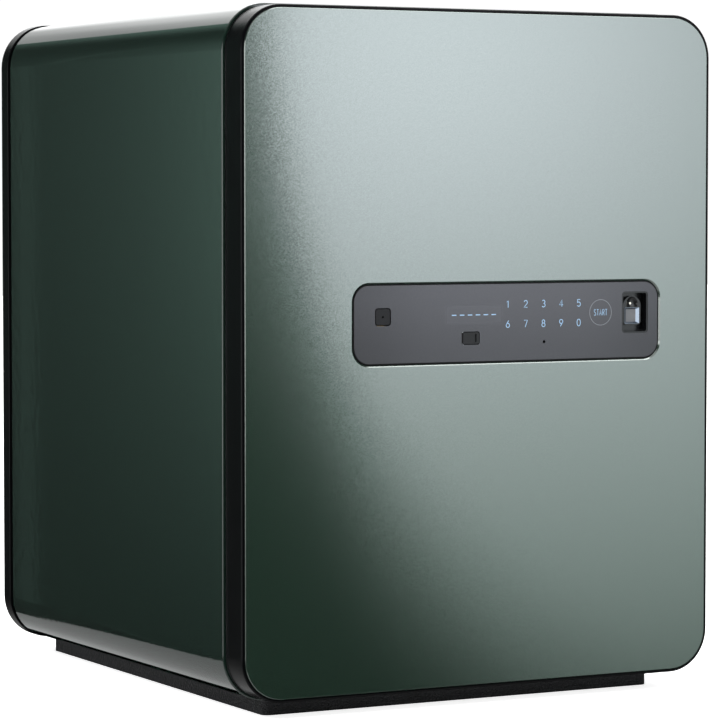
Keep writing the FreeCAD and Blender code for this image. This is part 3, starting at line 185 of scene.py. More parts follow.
def door_paint():
    """Satin metallic green: a fine flake layer that spreads the light, over a dark green ground."""
    made, g = material("door_paint")
    flake = g.cells(0.0005).outputs["Color"]
    shade = g.add("SeparateColor", {"Color": flake}).outputs[0]
    color = g.mix_color(shade, (0.185, 0.195, 0.190), (0.205, 0.215, 0.210))
    satin = principled(g, color=color, metallic=1.0, roughness=0.16, normal=g.sparkle(0.0005, 0.03))
    under = g.add("BsdfDiffuse", {"Color": (0.012, 0.045, 0.025), "Roughness": 0.6}).outputs[0]
    both = g.add("MixShader", {"Fac": GROUND_SHARE})
    g.feed(both.inputs[1], satin)
    g.feed(both.inputs[2], under)
    finish_material(g, both.outputs[0])
    return made


def black_trim():
    """Moulded black frame with a fine spark-eroded texture."""
    made, g = material("black_trim")
    grain = g.noise(0.0007, detail=3.0).outputs[0]
    rough = g.ramp(g.noise(0.02).outputs[0], 0.3, 0.7, 0.20, 0.26)
    shader = principled(g, color=(0.0014, 0.0015, 0.0018), roughness=rough, specular=0.06,
                        normal=g.bump(grain, 0.00004))
    finish_material(g, shader)
    return made


def anodised_grey():
    """Fine-blasted dark anodised sheet, with painted shade: darker low down and towards its ends."""
    made, g = material("anodised_grey")
    grain = g.noise(0.0006, detail=2.0).outputs[0]
    color = g.mix_color(grain, (0.037, 0.0365, 0.0415), (0.057, 0.056, 0.062))
    # Painted shade: the sheet's colour is scaled darker low down and towards its ends.
    color = g.vector("SCALE", color)
    g.feed(color.inputs["Scale"], painted_plate_shade(g))
    inside, outline = window_masks(g)
    rough = g.math("SUBTRACT", 0.40, g.math("MULTIPLY", inside, 0.05))
    rough = g.math("SUBTRACT", rough, g.math("MULTIPLY", outline, 0.12))
    shader = principled(g, color=color.outputs[0], metallic=0.55, roughness=rough, specular=0.5,
                        normal=g.bump(grain, 0.00002))
    finish_material(g, shader)
    return made


def painted_plate_shade(g):
    """Painted shade over the anodised sheet's face: darker low down and towards its ends, where less light
    falls.
    """
    spot = g.add("SeparateXYZ", {"Vector": g.place()})
    middle, half = (PLATE_LOW.x + PLATE_HIGH.x) / 2, (PLATE_HIGH.x - PLATE_LOW.x) / 2
    off = g.math("DIVIDE", g.math("ABSOLUTE", g.math("SUBTRACT", spot.outputs[0], middle)), half)
    ends = g.ramp(off, 0.45, 1.05, 1.0, 0.80)
    low = g.ramp(spot.outputs[2], PLATE_LOW.z, PLATE_HIGH.z, 0.82, 1.10)
    return g.math("MULTIPLY", ends, low)


WINDOW_HALF_WIDE = 24 * MM
WINDOW_HALF_HIGH = 6.5 * MM
WINDOW_LINE = 0.2 * MM       # half the width of its outline


def window_masks(g):
    """The display window behind the dashes, and the thin line around it."""
    middle = dash_middle()
    spot = g.add("SeparateXYZ", {"Vector": g.place()})
    across = g.math("ABSOLUTE", g.math("SUBTRACT", spot.outputs[0], middle.x))
    up = g.math("ABSOLUTE", g.math("SUBTRACT", spot.outputs[2], middle.z))
    past_side = g.math("SUBTRACT", across, WINDOW_HALF_WIDE)
    past = g.math("MAXIMUM", past_side, g.math("SUBTRACT", up, WINDOW_HALF_HIGH))
    inside = g.math("LESS_THAN", past, 0.0)
    outline = g.math("LESS_THAN", g.math("ABSOLUTE", past), WINDOW_LINE)
    return inside, outline


def plain_plastic(name, color, roughness, specular):
    """Moulded plastic with a fine grain and slightly uneven colour."""
    made, g = material(name)
    grain = g.noise(0.0008, detail=3.0).outputs[0]
    shade = g.noise(0.012, detail=2.0).outputs[0]
    lighter = tuple(channel * 1.25 for channel in color)
    shader = principled(g, color=g.mix_color(shade, color, lighter), roughness=roughness,
                        specular=specular, normal=g.bump(grain, 0.00003))
    finish_material(g, shader)
    return made


def leather_plastic():
    """Black moulding with a pebbled leather grain."""
    made, g = material("leather_plastic")
    drift = g.noise(0.004, detail=2.0).outputs["Color"]
    shift = g.vector("MULTIPLY", drift, (0.002, 0.002, 0.002)).outputs[0]
    spot = g.vector("ADD", g.place(), shift).outputs[0]
    pebble = g.cells(0.0026, vector=spot, feature="DISTANCE_TO_EDGE").outputs[0]
    height = g.ramp(pebble, 0.0, 0.28)
    fine = g.math("MULTIPLY", g.noise(0.0006).outputs[0], 0.25)
    normal = g.bump(g.math("ADD", height, fine), 0.00045)
    rough = g.ramp(height, 0.0, 1.0, 0.62, 0.40)
    shader = principled(g, color=(0.029, 0.029, 0.031), roughness=rough, normal=normal, specular=0.15)
    finish_material(g, shader)
    return made


def powder_paint():
    """Textured charcoal powder coat inside the safe."""
    made, g = material("powder_paint")
    orange = g.noise(0.0012, detail=2.0).outputs[0]
    shade = g.noise(0.06, detail=3.0).outputs[0]
    color = g.mix_color(shade, (0.060, 0.064, 0.066), (0.078, 0.082, 0.084))
    finish_material(g, principled(g, color=color, roughness=0.55, normal=g.bump(orange, 0.00008)))
    return made


def brushed_steel():
    """Bare steel, brushed along X."""
    made, g = material("brushed_steel")
    lines = g.noise(0.0004, detail=4.0, vector=g.stretched((0.03, 1.0, 1.0))).outputs[0]
    rough = g.ramp(lines, 0.25, 0.75, 0.24, 0.40)
    color = g.mix_color(g.noise(0.02).outputs[0], (0.42, 0.43, 0.45), (0.52, 0.53, 0.54))
    shader = principled(g, color=color, metallic=1.0, roughness=rough, normal=g.bump(lines, 0.00001))
    finish_material(g, shader)
    return made


def chrome():
    """Bright turned metal of the bolts, slightly smeared."""
    made, g = material("chrome")
    smear = g.ramp(g.noise(0.01, detail=4.0).outputs[0], 0.35, 0.7, 0.05, 0.11)
    turned = g.noise(0.0003, vector=g.stretched((1.0, 0.05, 0.05))).outputs[0]
    shader = principled(g, color=(0.66, 0.67, 0.69), metallic=1.0, roughness=smear,
                        normal=g.bump(turned, 0.000004))
    finish_material(g, shader)
    return made


def brass():
    """Yellow metal with dull stains."""
    made, g = material("brass")
    stain = g.noise(0.006, detail=4.0).outputs[0]
    color = g.mix_color(stain, (0.62, 0.43, 0.17), (0.48, 0.33, 0.14))
    rough = g.ramp(stain, 0.3, 0.7, 0.22, 0.36)
    finish_material(g, principled(g, color=color, metallic=1.0, roughness=rough))
    return made


def rubber():
    """Matt black rubber with a little dust."""
    made, g = material("rubber")
    grain = g.noise(0.0012, detail=4.0).outputs[0]
    dusty = g.mix_color(g.noise(0.02).outputs[0], (0.012, 0.012, 0.012), (0.022, 0.022, 0.021))
    shader = principled(g, color=dusty, roughness=0.72, specular=0.3, normal=g.bump(grain, 0.00006))
    finish_material(g, shader)
    return made


def felt():
    """Short charcoal felt: matted fibres with lighter ends."""
    made, g = material("felt")
    long_fibre = g.noise(0.0011, detail=6.0, rough=0.7, vector=g.stretched((1.0, 0.35, 1.0))).outputs[0]
    cross_fibre = g.noise(0.0011, detail=6.0, rough=0.7, vector=g.stretched((0.35, 1.0, 1.0))).outputs[0]
    fibre = g.math("MAXIMUM", long_fibre, cross_fibre)
    cloud = g.noise(0.03, detail=3.0).outputs[0]
    tone = g.math("MULTIPLY", g.ramp(fibre, 0.45, 0.75), g.ramp(cloud, 0.2, 0.8, 0.7, 1.0))
    color = g.mix_color(tone, (0.028, 0.030, 0.032), (0.075, 0.080, 0.084))
    shader = principled(g, color=color, roughness=0.95, specular=0.1, sheen=0.5, sheen_roughness=0.5,
                        normal=g.bump(fibre, 0.0004))
    finish_material(g, shader)
    return made


def circuit_board():
    """Green lacquered board with paler lines like tracks."""
    made, g = material("circuit_board")
    tracks = g.cells(0.004, vector=g.stretched((1.0, 0.1, 2.0)), feature="DISTANCE_TO_EDGE").outputs[0]
    line = g.ramp(tracks, 0.02, 0.05, 1.0, 0.0)
    color = g.mix_color(line, (0.010, 0.075, 0.030), (0.025, 0.14, 0.06))
    finish_material(g, principled(g, color=color, roughness=0.35, normal=g.bump(line, 0.00004)))
    return made


def sensor_glass():
    """Smoked grey sensor window with a faint ridge pattern under a clear face."""
    made, g = material("sensor_glass")
    smoke = g.noise(0.004, detail=2.0).outputs[0]
    color = g.mix_color(smoke, (0.055, 0.053, 0.058), (0.075, 0.072, 0.078))
    mesh = g.noise(0.0003, detail=1.0).outputs[0]
    shader = principled(g, color=color, roughness=0.32, normal=g.bump(mesh, 0.000006),
                        coat=0.25, coat_roughness=0.10)
    finish_material(g, shader)
    return made


def smoked_chrome():
    """Dark bright-plated metal of the bevelled frame around the sensor."""
    made, g = material("smoked_chrome")
    drift = g.noise(0.002, detail=2.0).outputs[0]
    color = g.mix_color(drift, (0.17, 0.20, 0.245), (0.19, 0.225, 0.275))
    finish_material(g, principled(g, color=color, metallic=1.0, roughness=0.12))
    return made


def lit(name, color, strength):
    """A printed or glowing mark: lit from behind, very slightly uneven."""
    made, g = material(name)
    uneven = g.ramp(g.noise(0.003).outputs[0], 0.3, 0.7, 0.94 * strength, 1.04 * strength)
    shader = principled(g, color=tuple(channel * 0.4 for channel in color), roughness=0.5,
                        emission=color, emission_strength=uneven)
    finish_material(g, shader)
    return made


def aerated_filling():
    """Pale cast filling with small voids."""
    made, g = material("aerated_filling")
    voids = g.cells(0.003).outputs[0]
    pit = g.ramp(voids, 0.12, 0.3)
    cloud = g.noise(0.04, detail=5.0).outputs[0]
    color = g.mix_color(cloud, (0.44, 0.42, 0.38), (0.58, 0.56, 0.52))
    finish_material(g, principled(g, color=color, roughness=0.92, specular=0.2, normal=g.bump(pit, 0.0006)))
    return made


def cell_jacket():
    """Plain two-tone battery wrap: dark body with a copper-coloured top third."""
    made, g = material("cell_jacket")
    low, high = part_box("batteries")
    height = g.add("SeparateXYZ", {"Vector": g.place()}).outputs[2]
    top = g.math("GREATER_THAN", height, low.z + 0.70 * (high.z - low.z))
    nub = g.math("GREATER_THAN", height, high.z - 1.2 * MM)
    color = g.mix_color(top, (0.030, 0.032, 0.036), (0.50, 0.27, 0.10))
    color = g.mix_color(nub, color, (0.6, 0.6, 0.62))
    scuff = g.ramp(g.noise(0.004, detail=4.0).outputs[0], 0.35, 0.7, 0.2, 0.34)
    finish_material(g, principled(g, color=color, metallic=0.7, roughness=scuff))
    return made


def cable():
    """Black cable jacket, slightly uneven."""
    made, g = material("cable")
    rib = g.noise(0.002, vector=g.stretched((1.0, 1.0, 0.2))).outputs[0]
    shader = principled(g, color=(0.015, 0.015, 0.016), roughness=0.42, normal=g.bump(rib, 0.00005))
    finish_material(g, shader)
    return made


def door_lining():
    """Moulded inner cover with a fine pebbled grain."""
    made, g = material("door_lining")
    pebble = g.cells(0.0014, feature="DISTANCE_TO_EDGE").outputs[0]
    height = g.ramp(pebble, 0.0, 0.3)
    shade = g.noise(0.05, detail=3.0).outputs[0]
    color = g.mix_color(shade, (0.022, 0.023, 0.025), (0.032, 0.033, 0.035))
    finish_material(g, principled(g, color=color, roughness=0.5, normal=g.bump(height, 0.00012)))
    return made


def all_materials():
    """One material for each slot in the record."""
    return {
        "shell_paint": shell_paint(),
        "door_paint": door_paint(),
        "black_trim": black_trim(),
        "anodised_grey": anodised_grey(),
        "dark_plastic": plain_plastic("dark_plastic", (0.0095, 0.0094, 0.0104), 0.42, specular=0.22),
        "cast_insulation": aerated_filling(),
        "bare_steel": brushed_steel(),
        "bright_bolt": chrome(),
        "inner_paint": powder_paint(),
        "brass": brass(),
        "black_rubber": rubber(),
        "felt": felt(),
        "board_green": circuit_board(),
        "sensor_glass": sensor_glass(),
        "lamp": lit("lamp", (0.80, 0.80, 0.72), 1.0),
        "cell_jacket": cell_jacket(),
        "cable": cable(),
        "cover_plastic": door_lining(),
    }


def dress_cad_nodes(materials):
    """Every CAD node gets its slot's material, or a special one of its own."""
    slots = {row["node"]: row["material_slot"] for row in frame["record"]["subparts"]}
    special = {
        "plinth": leather_plastic(),
        # Control housing: black plastic darkened further to near-black, as painted shade in the gap round the
        # plate.
        "control_housing": plain_plastic("pit_plastic_painted_shade", (0.0020, 0.0020, 0.0022), 0.5, specular=0.08),
        "finger_guide": plain_plastic("guide_plastic", (0.0030, 0.0030, 0.0036), 0.26, specular=0.30),
        "sensor_bezel": smoked_chrome(),
        "key_cover": plain_plastic("lid_plastic", (0.0072, 0.0071, 0.0080), 0.42, specular=0.15),
        "power_port_cover": plain_plastic("flap_plastic", (0.0080, 0.0079, 0.0086), 0.42, specular=0.17),
    }
    for name, node in frame["nodes"].items():
        node.data.materials.clear()
        node.data.materials.append(special.get(name, materials[slots[name]]))


# ---------------------------------------------------------------- pieces built here
def mesh_piece(name, bm, body, material_used, smooth=True):
    """A new visible piece that rides on a body."""
    bmesh.ops.recalc_face_normals(bm, faces=bm.faces)
    mesh = bpy.data.meshes.new(name)
    bm.to_mesh(mesh)
    bm.free()
    piece = bpy.data.objects.new(name, mesh)
    bpy.context.scene.collection.objects.link(piece)
    mesh.materials.append(material_used)
    for face in mesh.polygons:
        face.use_smooth = smooth
    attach(piece, body)
    return piece


def rounded_loop(low_x, high_x, low_z, high_z, radius, steps=10):
    """Points (x, z) round a rounded rectangle, with the outward direction at each."""
    corners = [(high_x - radius, high_z - radius, 0), (low_x + radius, high_z - radius, 90),
               (low_x + radius, low_z + radius, 180), (high_x - radius, low_z + radius, 270)]
    points = []
    for x, z, start in corners:
        for step in range(steps + 1):
            angle = math.radians(start + 90 * step / steps)
            outward = (math.cos(angle), math.sin(angle))
            points.append((x + radius * outward[0], z + radius * outward[1], outward))
    return points


def sweep(bm, loop, profile):
    """Joins a closed profile (outward, y) around a closed loop."""
    rings = []
    for x, z, outward in loop:
        ring = []
        for out, y in profile:
            ring.append(bm.verts.new((x + out * outward[0], y, z + out * outward[1])))
        rings.append(ring)
    count = len(profile)
    for index, ring in enumerate(rings):
        following = rings[(index + 1) % len(rings)]
        for step in range(count):
            after = (step + 1) % count
            bm.faces.new((ring[step], ring[after], following[after], following[step]))


SEAL_HALF = 4.0 * MM         # half its width
SEAL_CORNER = 9 * MM         # corner radius of its middle line
SEAL_BELOW = 0.1 * MM        # how far its ribs stay below the CAD strip's height
RIB_STEPS = 8


def door_seal(materials):
    """Soft strip on the door: a flat foot with two rounded ribs."""
    low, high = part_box("door_seal")
    base = low.y
    rise = high.y - SEAL_BELOW - base
    half = SEAL_HALF
    profile = [(-half, base), (half, base), (half, base + 0.25 * rise)]
    for rib in (0.5, -0.5):
        for step in range(RIB_STEPS + 1):
            angle = math.radians(180 * step / RIB_STEPS)
            out = rib * half + 0.46 * half * math.cos(angle)
            profile.append((out, base + 0.3 * rise + 0.7 * rise * math.sin(angle)))
    profile.append((-half, base + 0.25 * rise))
    bm = bmesh.new()
    loop = rounded_loop(low.x + half, high.x - half, low.z + half, high.z - half, SEAL_CORNER, steps=14)
    sweep(bm, loop, profile)
    seal = mesh_piece("seal_strip", bm, "door", materials["black_rubber"])
    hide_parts("door_seal")


FELT_STEPS = 84              # squares along each side of a mat
FELT_CORNER = 5 * MM
FELT_WAVE = 0.10 * MM        # how uneven the top is
FELT_LOWER = 0.12 * MM       # keeps the waves under the CAD mat's top
FELT_DROPS = {0: 0.45, 1: 0.1}   # share of the thickness lost in the outermost rows
FELT_HOLE = 10 * MM          # radius
ANCHOR_HOLES = ((-0.1, 0.0), (0.1, 0.0))


def felt_sheet(name, node, body, materials, holes=()):
    """A cut felt mat: a slightly uneven top with softly rounded edges."""
    low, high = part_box(node)
    across = high.x - low.x
    along = high.y - low.y
    thick = high.z - low.z
    bm = bmesh.new()
    rows = []
    for j in range(FELT_STEPS + 1):
        row = []
        for i in range(FELT_STEPS + 1):
            u, v = i / FELT_STEPS, j / FELT_STEPS
            x, y = low.x + u * across, low.y + v * along
            x, y = inside_corner(x, y, low, high, FELT_CORNER)
            rows_in = round(min(u, 1 - u, v, 1 - v) * FELT_STEPS)
            drop = FELT_DROPS.get(rows_in, 0.0) * thick
            wave = FELT_WAVE * math.sin(37 * u + 11 * v) * math.sin(23 * v - 5 * u)
            row.append(bm.verts.new((x, y, high.z - FELT_LOWER - drop + wave)))
        rows.append(row)
    for j in range(FELT_STEPS):
        for i in range(FELT_STEPS):
            bm.faces.new((rows[j][i], rows[j][i + 1], rows[j + 1][i + 1], rows[j + 1][i]))
    close_below(bm, low.z)
    sheet = mesh_piece(name, bm, body, materials["felt"])
    for centre in holes:
        punch(sheet, centre, FELT_HOLE, low.z, high.z)
    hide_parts(node)


def inside_corner(x, y, low, high, radius):
    """Pulls a point near a corner of the rectangle in to its rounded outline."""
    cx = min(max(x, low.x + radius), high.x - radius)
    cy = min(max(y, low.y + radius), high.y - radius)
    reach = math.hypot(x - cx, y - cy)
    if reach > radius:
        x, y = cx + (x - cx) * radius / reach, cy + (y - cy) * radius / reach
    return x, y


def close_below(bm, level):
    """Drops a skirt from an open sheet's border and closes it with a flat underside."""
    border = [edge for edge in bm.edges if edge.is_boundary]
    made = bmesh.ops.extrude_edge_only(bm, edges=border)["geom"]
    for vert in made:
        if isinstance(vert, bmesh.types.BMVert):
            vert.co.z = level
    bmesh.ops.holes_fill(bm, edges=[edge for edge in bm.edges if edge.is_boundary], sides=0)


def punch(piece, centre, radius, low_z, high_z):
    """Cuts a round hole through a sheet and leaves the result in its mesh."""
    bm = bmesh.new()
    depth = (high_z - low_z) * 4
    spot = Matrix.Translation((centre[0], centre[1], (low_z + high_z) / 2))
    bmesh.ops.create_cone(bm, cap_ends=True, segments=48, radius1=radius, radius2=radius,
                          depth=depth, matrix=spot)
    mesh = bpy.data.meshes.new("punch")
    bm.to_mesh(mesh)
    bm.free()
    tool = bpy.data.objects.new("punch", mesh)
    bpy.context.scene.collection.objects.link(tool)
    cut = piece.modifiers.new("punch", "BOOLEAN")
    cut.operation = "DIFFERENCE"
    cut.solver = "EXACT"
    cut.object = tool
    graph = bpy.context.evaluated_depsgraph_get()
    done = bpy.data.meshes.new_from_object(piece.evaluated_get(graph))
    piece.modifiers.clear()
    piece.data = done
    bpy.data.objects.remove(tool)


# ---------------------------------------------------------------- lit marks on the control plate
MARK_THICK = 0.06 * MM
MARK_GAP = 0.02 * MM
DIGIT_PITCH = 15.75 * MM
DIGIT_HIGH = 5.2 * MM
ROW_PITCH = 15.0 * MM
START_HIGH = 4.6 * MM
LETTER_PITCH = 2.55 * MM
STROKE = 0.58 * MM
LETTER_STROKE = 0.36 * MM
LETTER_SQUEEZE = 0.62
DASH_COUNT = 6
DASH_PITCH = 6.88 * MM
DASH_LONG = 4.0 * MM
DASH_HIGH = 0.75 * MM
RING_RADIUS = 9.8 * MM
RING_HALF_WIDTH = 0.17 * MM
RING_STEPS = 72


def first_digit():
    """Middle of the digit 1, measured from the plate's own corner."""
    return Vector((PLATE_LOW.x + 131.7 * MM, PLATE_FRONT, PLATE_HIGH.z - 15.5 * MM))


def dash_middle():
    return Vector((PLATE_LOW.x + 102.1 * MM, PLATE_FRONT, PLATE_HIGH.z - 23.1 * MM))


def start_middle():
    return Vector((PLATE_LOW.x + 214.4 * MM, PLATE_FRONT, PLATE_HIGH.z - 23.1 * MM))


def arc(x, z, wide, high, start, end):
    """Points on an ellipse about (x, z), from one angle to another in degrees."""
    steps = max(3, round(abs(end - start) / 15))
    angles = [math.radians(start + (end - start) * step / steps) for step in range(steps + 1)]
    return [(x + wide * math.cos(angle), z + high * math.sin(angle)) for angle in angles]


# Each sign is a list of strokes, 1 high and centred on x = 0.
SIGNS = {
    "0": [arc(0, 0.50, 0.29, 0.50, 90, 450)],
    "1": [[(-0.16, 0.80), (0.05, 1.0), (0.05, 0.0)]],
    "2": [arc(0, 0.72, 0.27, 0.28, 165, -35) + [(-0.28, 0.0), (0.29, 0.0)]],
    "3": [arc(0, 0.76, 0.23, 0.24, 150, -90), arc(0, 0.26, 0.28, 0.26, 90, -150)],
    "4": [[(0.12, 0.0), (0.12, 1.0), (-0.31, 0.27), (0.32, 0.27)]],
    "5": [[(0.24, 1.0), (-0.20, 1.0)] + arc(0, 0.32, 0.28, 0.32, 145, -150)],
    "6": [arc(0, 0.30, 0.28, 0.30, 0, 360), [(0.13, 1.0), (-0.25, 0.42)]],
    "7": [[(-0.28, 1.0), (0.28, 1.0), (-0.08, 0.0)]],
    "8": [arc(0, 0.76, 0.22, 0.24, 0, 360), arc(0, 0.26, 0.28, 0.26, 0, 360)],
    "9": [arc(0, 0.70, 0.28, 0.30, 0, 360), [(-0.13, 0.0), (0.25, 0.58)]],
    "S": [arc(0, 0.76, 0.24, 0.24, 30, 270) + arc(0, 0.26, 0.27, 0.26, 90, -150)],
    "T": [[(-0.30, 1.0), (0.30, 1.0)], [(0.0, 1.0), (0.0, 0.0)]],
    "A": [[(-0.32, 0.0), (0.0, 1.0), (0.32, 0.0)], [(-0.20, 0.36), (0.20, 0.36)]],
    "R": [[(-0.25, 0.0), (-0.25, 1.0)] + arc(0.05, 0.75, 0.22, 0.25, 90, -90) + [(-0.25, 0.5)],
          [(0.05, 0.5), (0.28, 0.0)]],
}


def add_stroke(bm, points, y, width):
    """A thin ribbon along the points, in the XZ plane, its back face at y."""
    rows = []
    for index, (x, z) in enumerate(points):
        before, after = points[max(index - 1, 0)], points[min(index + 1, len(points) - 1)]
        run = Vector((after[0] - before[0], after[1] - before[1])).normalized()
        side = Vector((-run.y, run.x)) * width / 2
        rim = [(x + side.x, z + side.y), (x - side.x, z - side.y)]
        front = [bm.verts.new((rim_x, y - MARK_THICK, rim_z)) for rim_x, rim_z in rim]
        back = [bm.verts.new((rim_x, y, rim_z)) for rim_x, rim_z in reversed(rim)]
        rows.append(front + back)
    for first, second in zip(rows, rows[1:]):
        for side in range(4):
            after = (side + 1) % 4
            bm.faces.new((first[side], first[after], second[after], second[side]))
    bm.faces.new(rows[0])
    bm.faces.new(list(reversed(rows[-1])))


def add_sign(bm, text, middle, height, width, squeeze=1.0):
    """One digit or letter as strokes of this width."""
    for stroke in SIGNS[text]:
        points = [(middle.x + x * height * squeeze, middle.z + (z - 0.5) * height) for x, z in stroke]
        add_stroke(bm, points, middle.y - MARK_GAP, width)


def key_digits(material_used):
    """The digits 1 to 5, with 6 to 9 and 0 in the row below."""
    bm = bmesh.new()
    start = first_digit()
    for index, text in enumerate("1234567890"):
        column, row = index % 5, index // 5
        place = start + Vector((column * DIGIT_PITCH, 0, -row * ROW_PITCH))
        add_sign(bm, text, place, DIGIT_HIGH, STROKE)
    mesh_piece("key_digits", bm, "door", material_used, smooth=False)


def add_pill(bm, middle, long, high):
    """A short dash with rounded ends."""
    loop = rounded_loop(middle.x - long / 2, middle.x + long / 2,
                        middle.z - high / 2, middle.z + high / 2, high * 0.35, steps=3)
    front = [bm.verts.new((x, middle.y - MARK_GAP - MARK_THICK, z)) for x, z, _ in loop]
    back = [bm.verts.new((x, middle.y - MARK_GAP, z)) for x, z, _ in loop]
    bm.faces.new(front)
    bm.faces.new(list(reversed(back)))
    for index in range(len(loop)):
        after = (index + 1) % len(loop)
        bm.faces.new((front[index], front[after], back[after], back[index]))


def dash_marks(material_used):
    """A row of dashes, one for each digit of the code."""
    bm = bmesh.new()
    middle = dash_middle()
    for index in range(DASH_COUNT):
        off = (index - (DASH_COUNT - 1) / 2) * DASH_PITCH
        add_pill(bm, middle + Vector((off, 0, 0)), DASH_LONG, DASH_HIGH)
    mesh_piece("code_dashes", bm, "door", material_used, smooth=False)


def start_key(word_material, ring_material):
    """The word START and the ring around it."""
    bm = bmesh.new()
    for index, text in enumerate("START"):
        place = start_middle() + Vector(((index - 2) * LETTER_PITCH, 0, 0))
        add_sign(bm, text, place, START_HIGH, LETTER_STROKE, squeeze=LETTER_SQUEEZE)
    mesh_piece("start_word", bm, "door", word_material, smooth=False)
    bm = bmesh.new()
    middle = start_middle()
    loop = []
    for step in range(RING_STEPS):
        angle = math.radians(360 / RING_STEPS * step)
        outward = (math.cos(angle), math.sin(angle))
        loop.append((middle.x + RING_RADIUS * outward[0], middle.z + RING_RADIUS * outward[1], outward))
    near = PLATE_FRONT - MARK_GAP
    far = near - MARK_THICK
    width = RING_HALF_WIDTH
    sweep(bm, loop, [(-width, near), (width, near), (width, far), (-width, far)])
    mesh_piece("start_ring", bm, "door", ring_material, smooth=False)


# ---------------------------------------------------------------- battery contacts
CELL_COUNT = 4
CELL_RADIUS = 7.1 * MM
BATTERY_BOX_FLOOR = 2.2 * MM
SPRING_WIRE = 0.35 * MM      # wire radius
SPRING_COIL = 2.8 * MM       # coil radius
SPRING_TURNS = 3.5
SPRING_STEPS = 16            # for each turn
SPRING_SIDES = 8
SPRING_GAP = 0.1 * MM        # under the cell


def spring_rings(bm, x, y, bottom, top):
    """Rings of vertices along a coil, from its bottom end to its top end."""
    steps = int(SPRING_TURNS * SPRING_STEPS)
    rings = []
    for step in range(steps + 1):
        share = step / steps
        angle = 2 * math.pi * SPRING_TURNS * share
        centre = Vector((x + SPRING_COIL * math.cos(angle), y + SPRING_COIL * math.sin(angle),
                         bottom + SPRING_WIRE + (top - bottom - 2 * SPRING_WIRE) * share))
        out = Vector((math.cos(angle), math.sin(angle), 0))
        ring = []
        for side in range(SPRING_SIDES):
            turn = 2 * math.pi * side / SPRING_SIDES
            rim = out * SPRING_WIRE * math.cos(turn) + Vector((0, 0, SPRING_WIRE * math.sin(turn)))
            ring.append(bm.verts.new(centre + rim))
        rings.append(ring)
    return rings


def battery_springs(materials):
    """A coil spring under each cell."""
    low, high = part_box("batteries")
    box_low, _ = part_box("battery_box")
    bottom = box_low.z + BATTERY_BOX_FLOOR
    top = low.z - SPRING_GAP
    depth = (low.y + high.y) / 2
    pitch = (high.x - low.x - 2 * CELL_RADIUS) / (CELL_COUNT - 1)
    bm = bmesh.new()
    for cell in range(CELL_COUNT):
        rings = spring_rings(bm, low.x + CELL_RADIUS + cell * pitch, depth, bottom, top)
        for first, second in zip(rings, rings[1:]):
            for side in range(SPRING_SIDES):
                after = (side + 1) % SPRING_SIDES
                bm.faces.new((first[side], first[after], second[after], second[side]))
        bm.faces.new(rings[0])
        bm.faces.new(list(reversed(rings[-1])))
    mesh_piece("battery_springs", bm, "door", materials["bare_steel"])


# ---------------------------------------------------------------- stage, light and camera
# The studio is laid out by direction. Behind the safe, across is x / y and up is z / y.
WALL_LIGHT = 0.045
BACKDROP_LIGHT = 1.03
BACKDROP_ACROSS = -0.12      # where its left edge is, at the height below
BACKDROP_UP = 0.392
BACKDROP_LEAN = -0.31        # how far the edge moves across for each unit up
STUDIO_FLOOR_LIGHT = 0.60
STUDIO_FLOOR_ACROSS = -0.438   # a point on the line where the floor starts
STUDIO_FLOOR_UP = -0.258
STUDIO_FLOOR_SLOPE = -0.55
STUDIO_FLOOR_LOWEST = -0.375
GLOW_LIGHT = 0.46
GLOW_ACROSS = -0.479
GLOW_FALL = -27.0
STREAK_LIGHT = 0.08
STREAK_ACROSS = -0.4105
HAZE_LIGHT = 0.45
CAMERA_WHITE = 1.05          # what the camera sees behind the safe
# Direction, cosine where the panel starts, strength low down and high up.
MIRROR_PANELS = (
    ((-0.886, -0.463, 0.0), 0.95, 0.5, 4.5),
    ((-0.957, 0.290, 0.0), 0.975, 8.0, 8.0),
    ((0.470, -0.040, 0.880), 0.90, 6.5, 6.5),
)


def backdrop(g, across, up):
    """Light of the bright backdrop behind the safe, and how far a direction is past its left edge.

    The backdrop grows brighter upwards and fades out far to the right.
    """
    leaning = g.math("MULTIPLY", g.math("SUBTRACT", up, BACKDROP_UP), BACKDROP_LEAN)
    edge = g.math("ADD", leaning, BACKDROP_ACROSS)
    past = g.math("SUBTRACT", across, edge)
    lit_part = g.ramp(past, -0.006, 0.006)
    height = g.math("ADD", up, g.math("MULTIPLY", g.math("MAXIMUM", across, 0.0), 0.35))
    strength = g.math("ADD", BACKDROP_LIGHT, g.ramp(height, 0.42, 0.53, 0.0, 1.15))
    strength = g.math("ADD", strength, g.ramp(across, 0.18, 0.32, 0.0, 0.9))
    strength = g.math("MULTIPLY", strength, g.ramp(across, 0.60, 0.85, 1.0, 0.25))
    return g.math("MULTIPLY", lit_part, strength), past


def bright_floor(g, across, up):
    """Pale floor beside the safe: it starts below a slanting line and ends under the safe."""
    falling = g.math("MULTIPLY", g.math("SUBTRACT", across, STUDIO_FLOOR_ACROSS), STUDIO_FLOOR_SLOPE)
    line = g.math("MAXIMUM", g.math("ADD", falling, STUDIO_FLOOR_UP), STUDIO_FLOOR_LOWEST)
    below = g.ramp(g.math("SUBTRACT", line, up), -0.004, 0.006)
    strength = g.math("ADD", STUDIO_FLOOR_LIGHT, g.ramp(across, -0.1, 0.15, 0.0, 0.10))
    return g.math("MULTIPLY", g.math("MULTIPLY", below, not_under(g, across)), strength)


def not_under(g, across):
    """0 in the direction of the shaded floor right under the safe, 1 to the left of it."""
    return g.ramp(across, 0.200, 0.225, 1.0, 0.0)


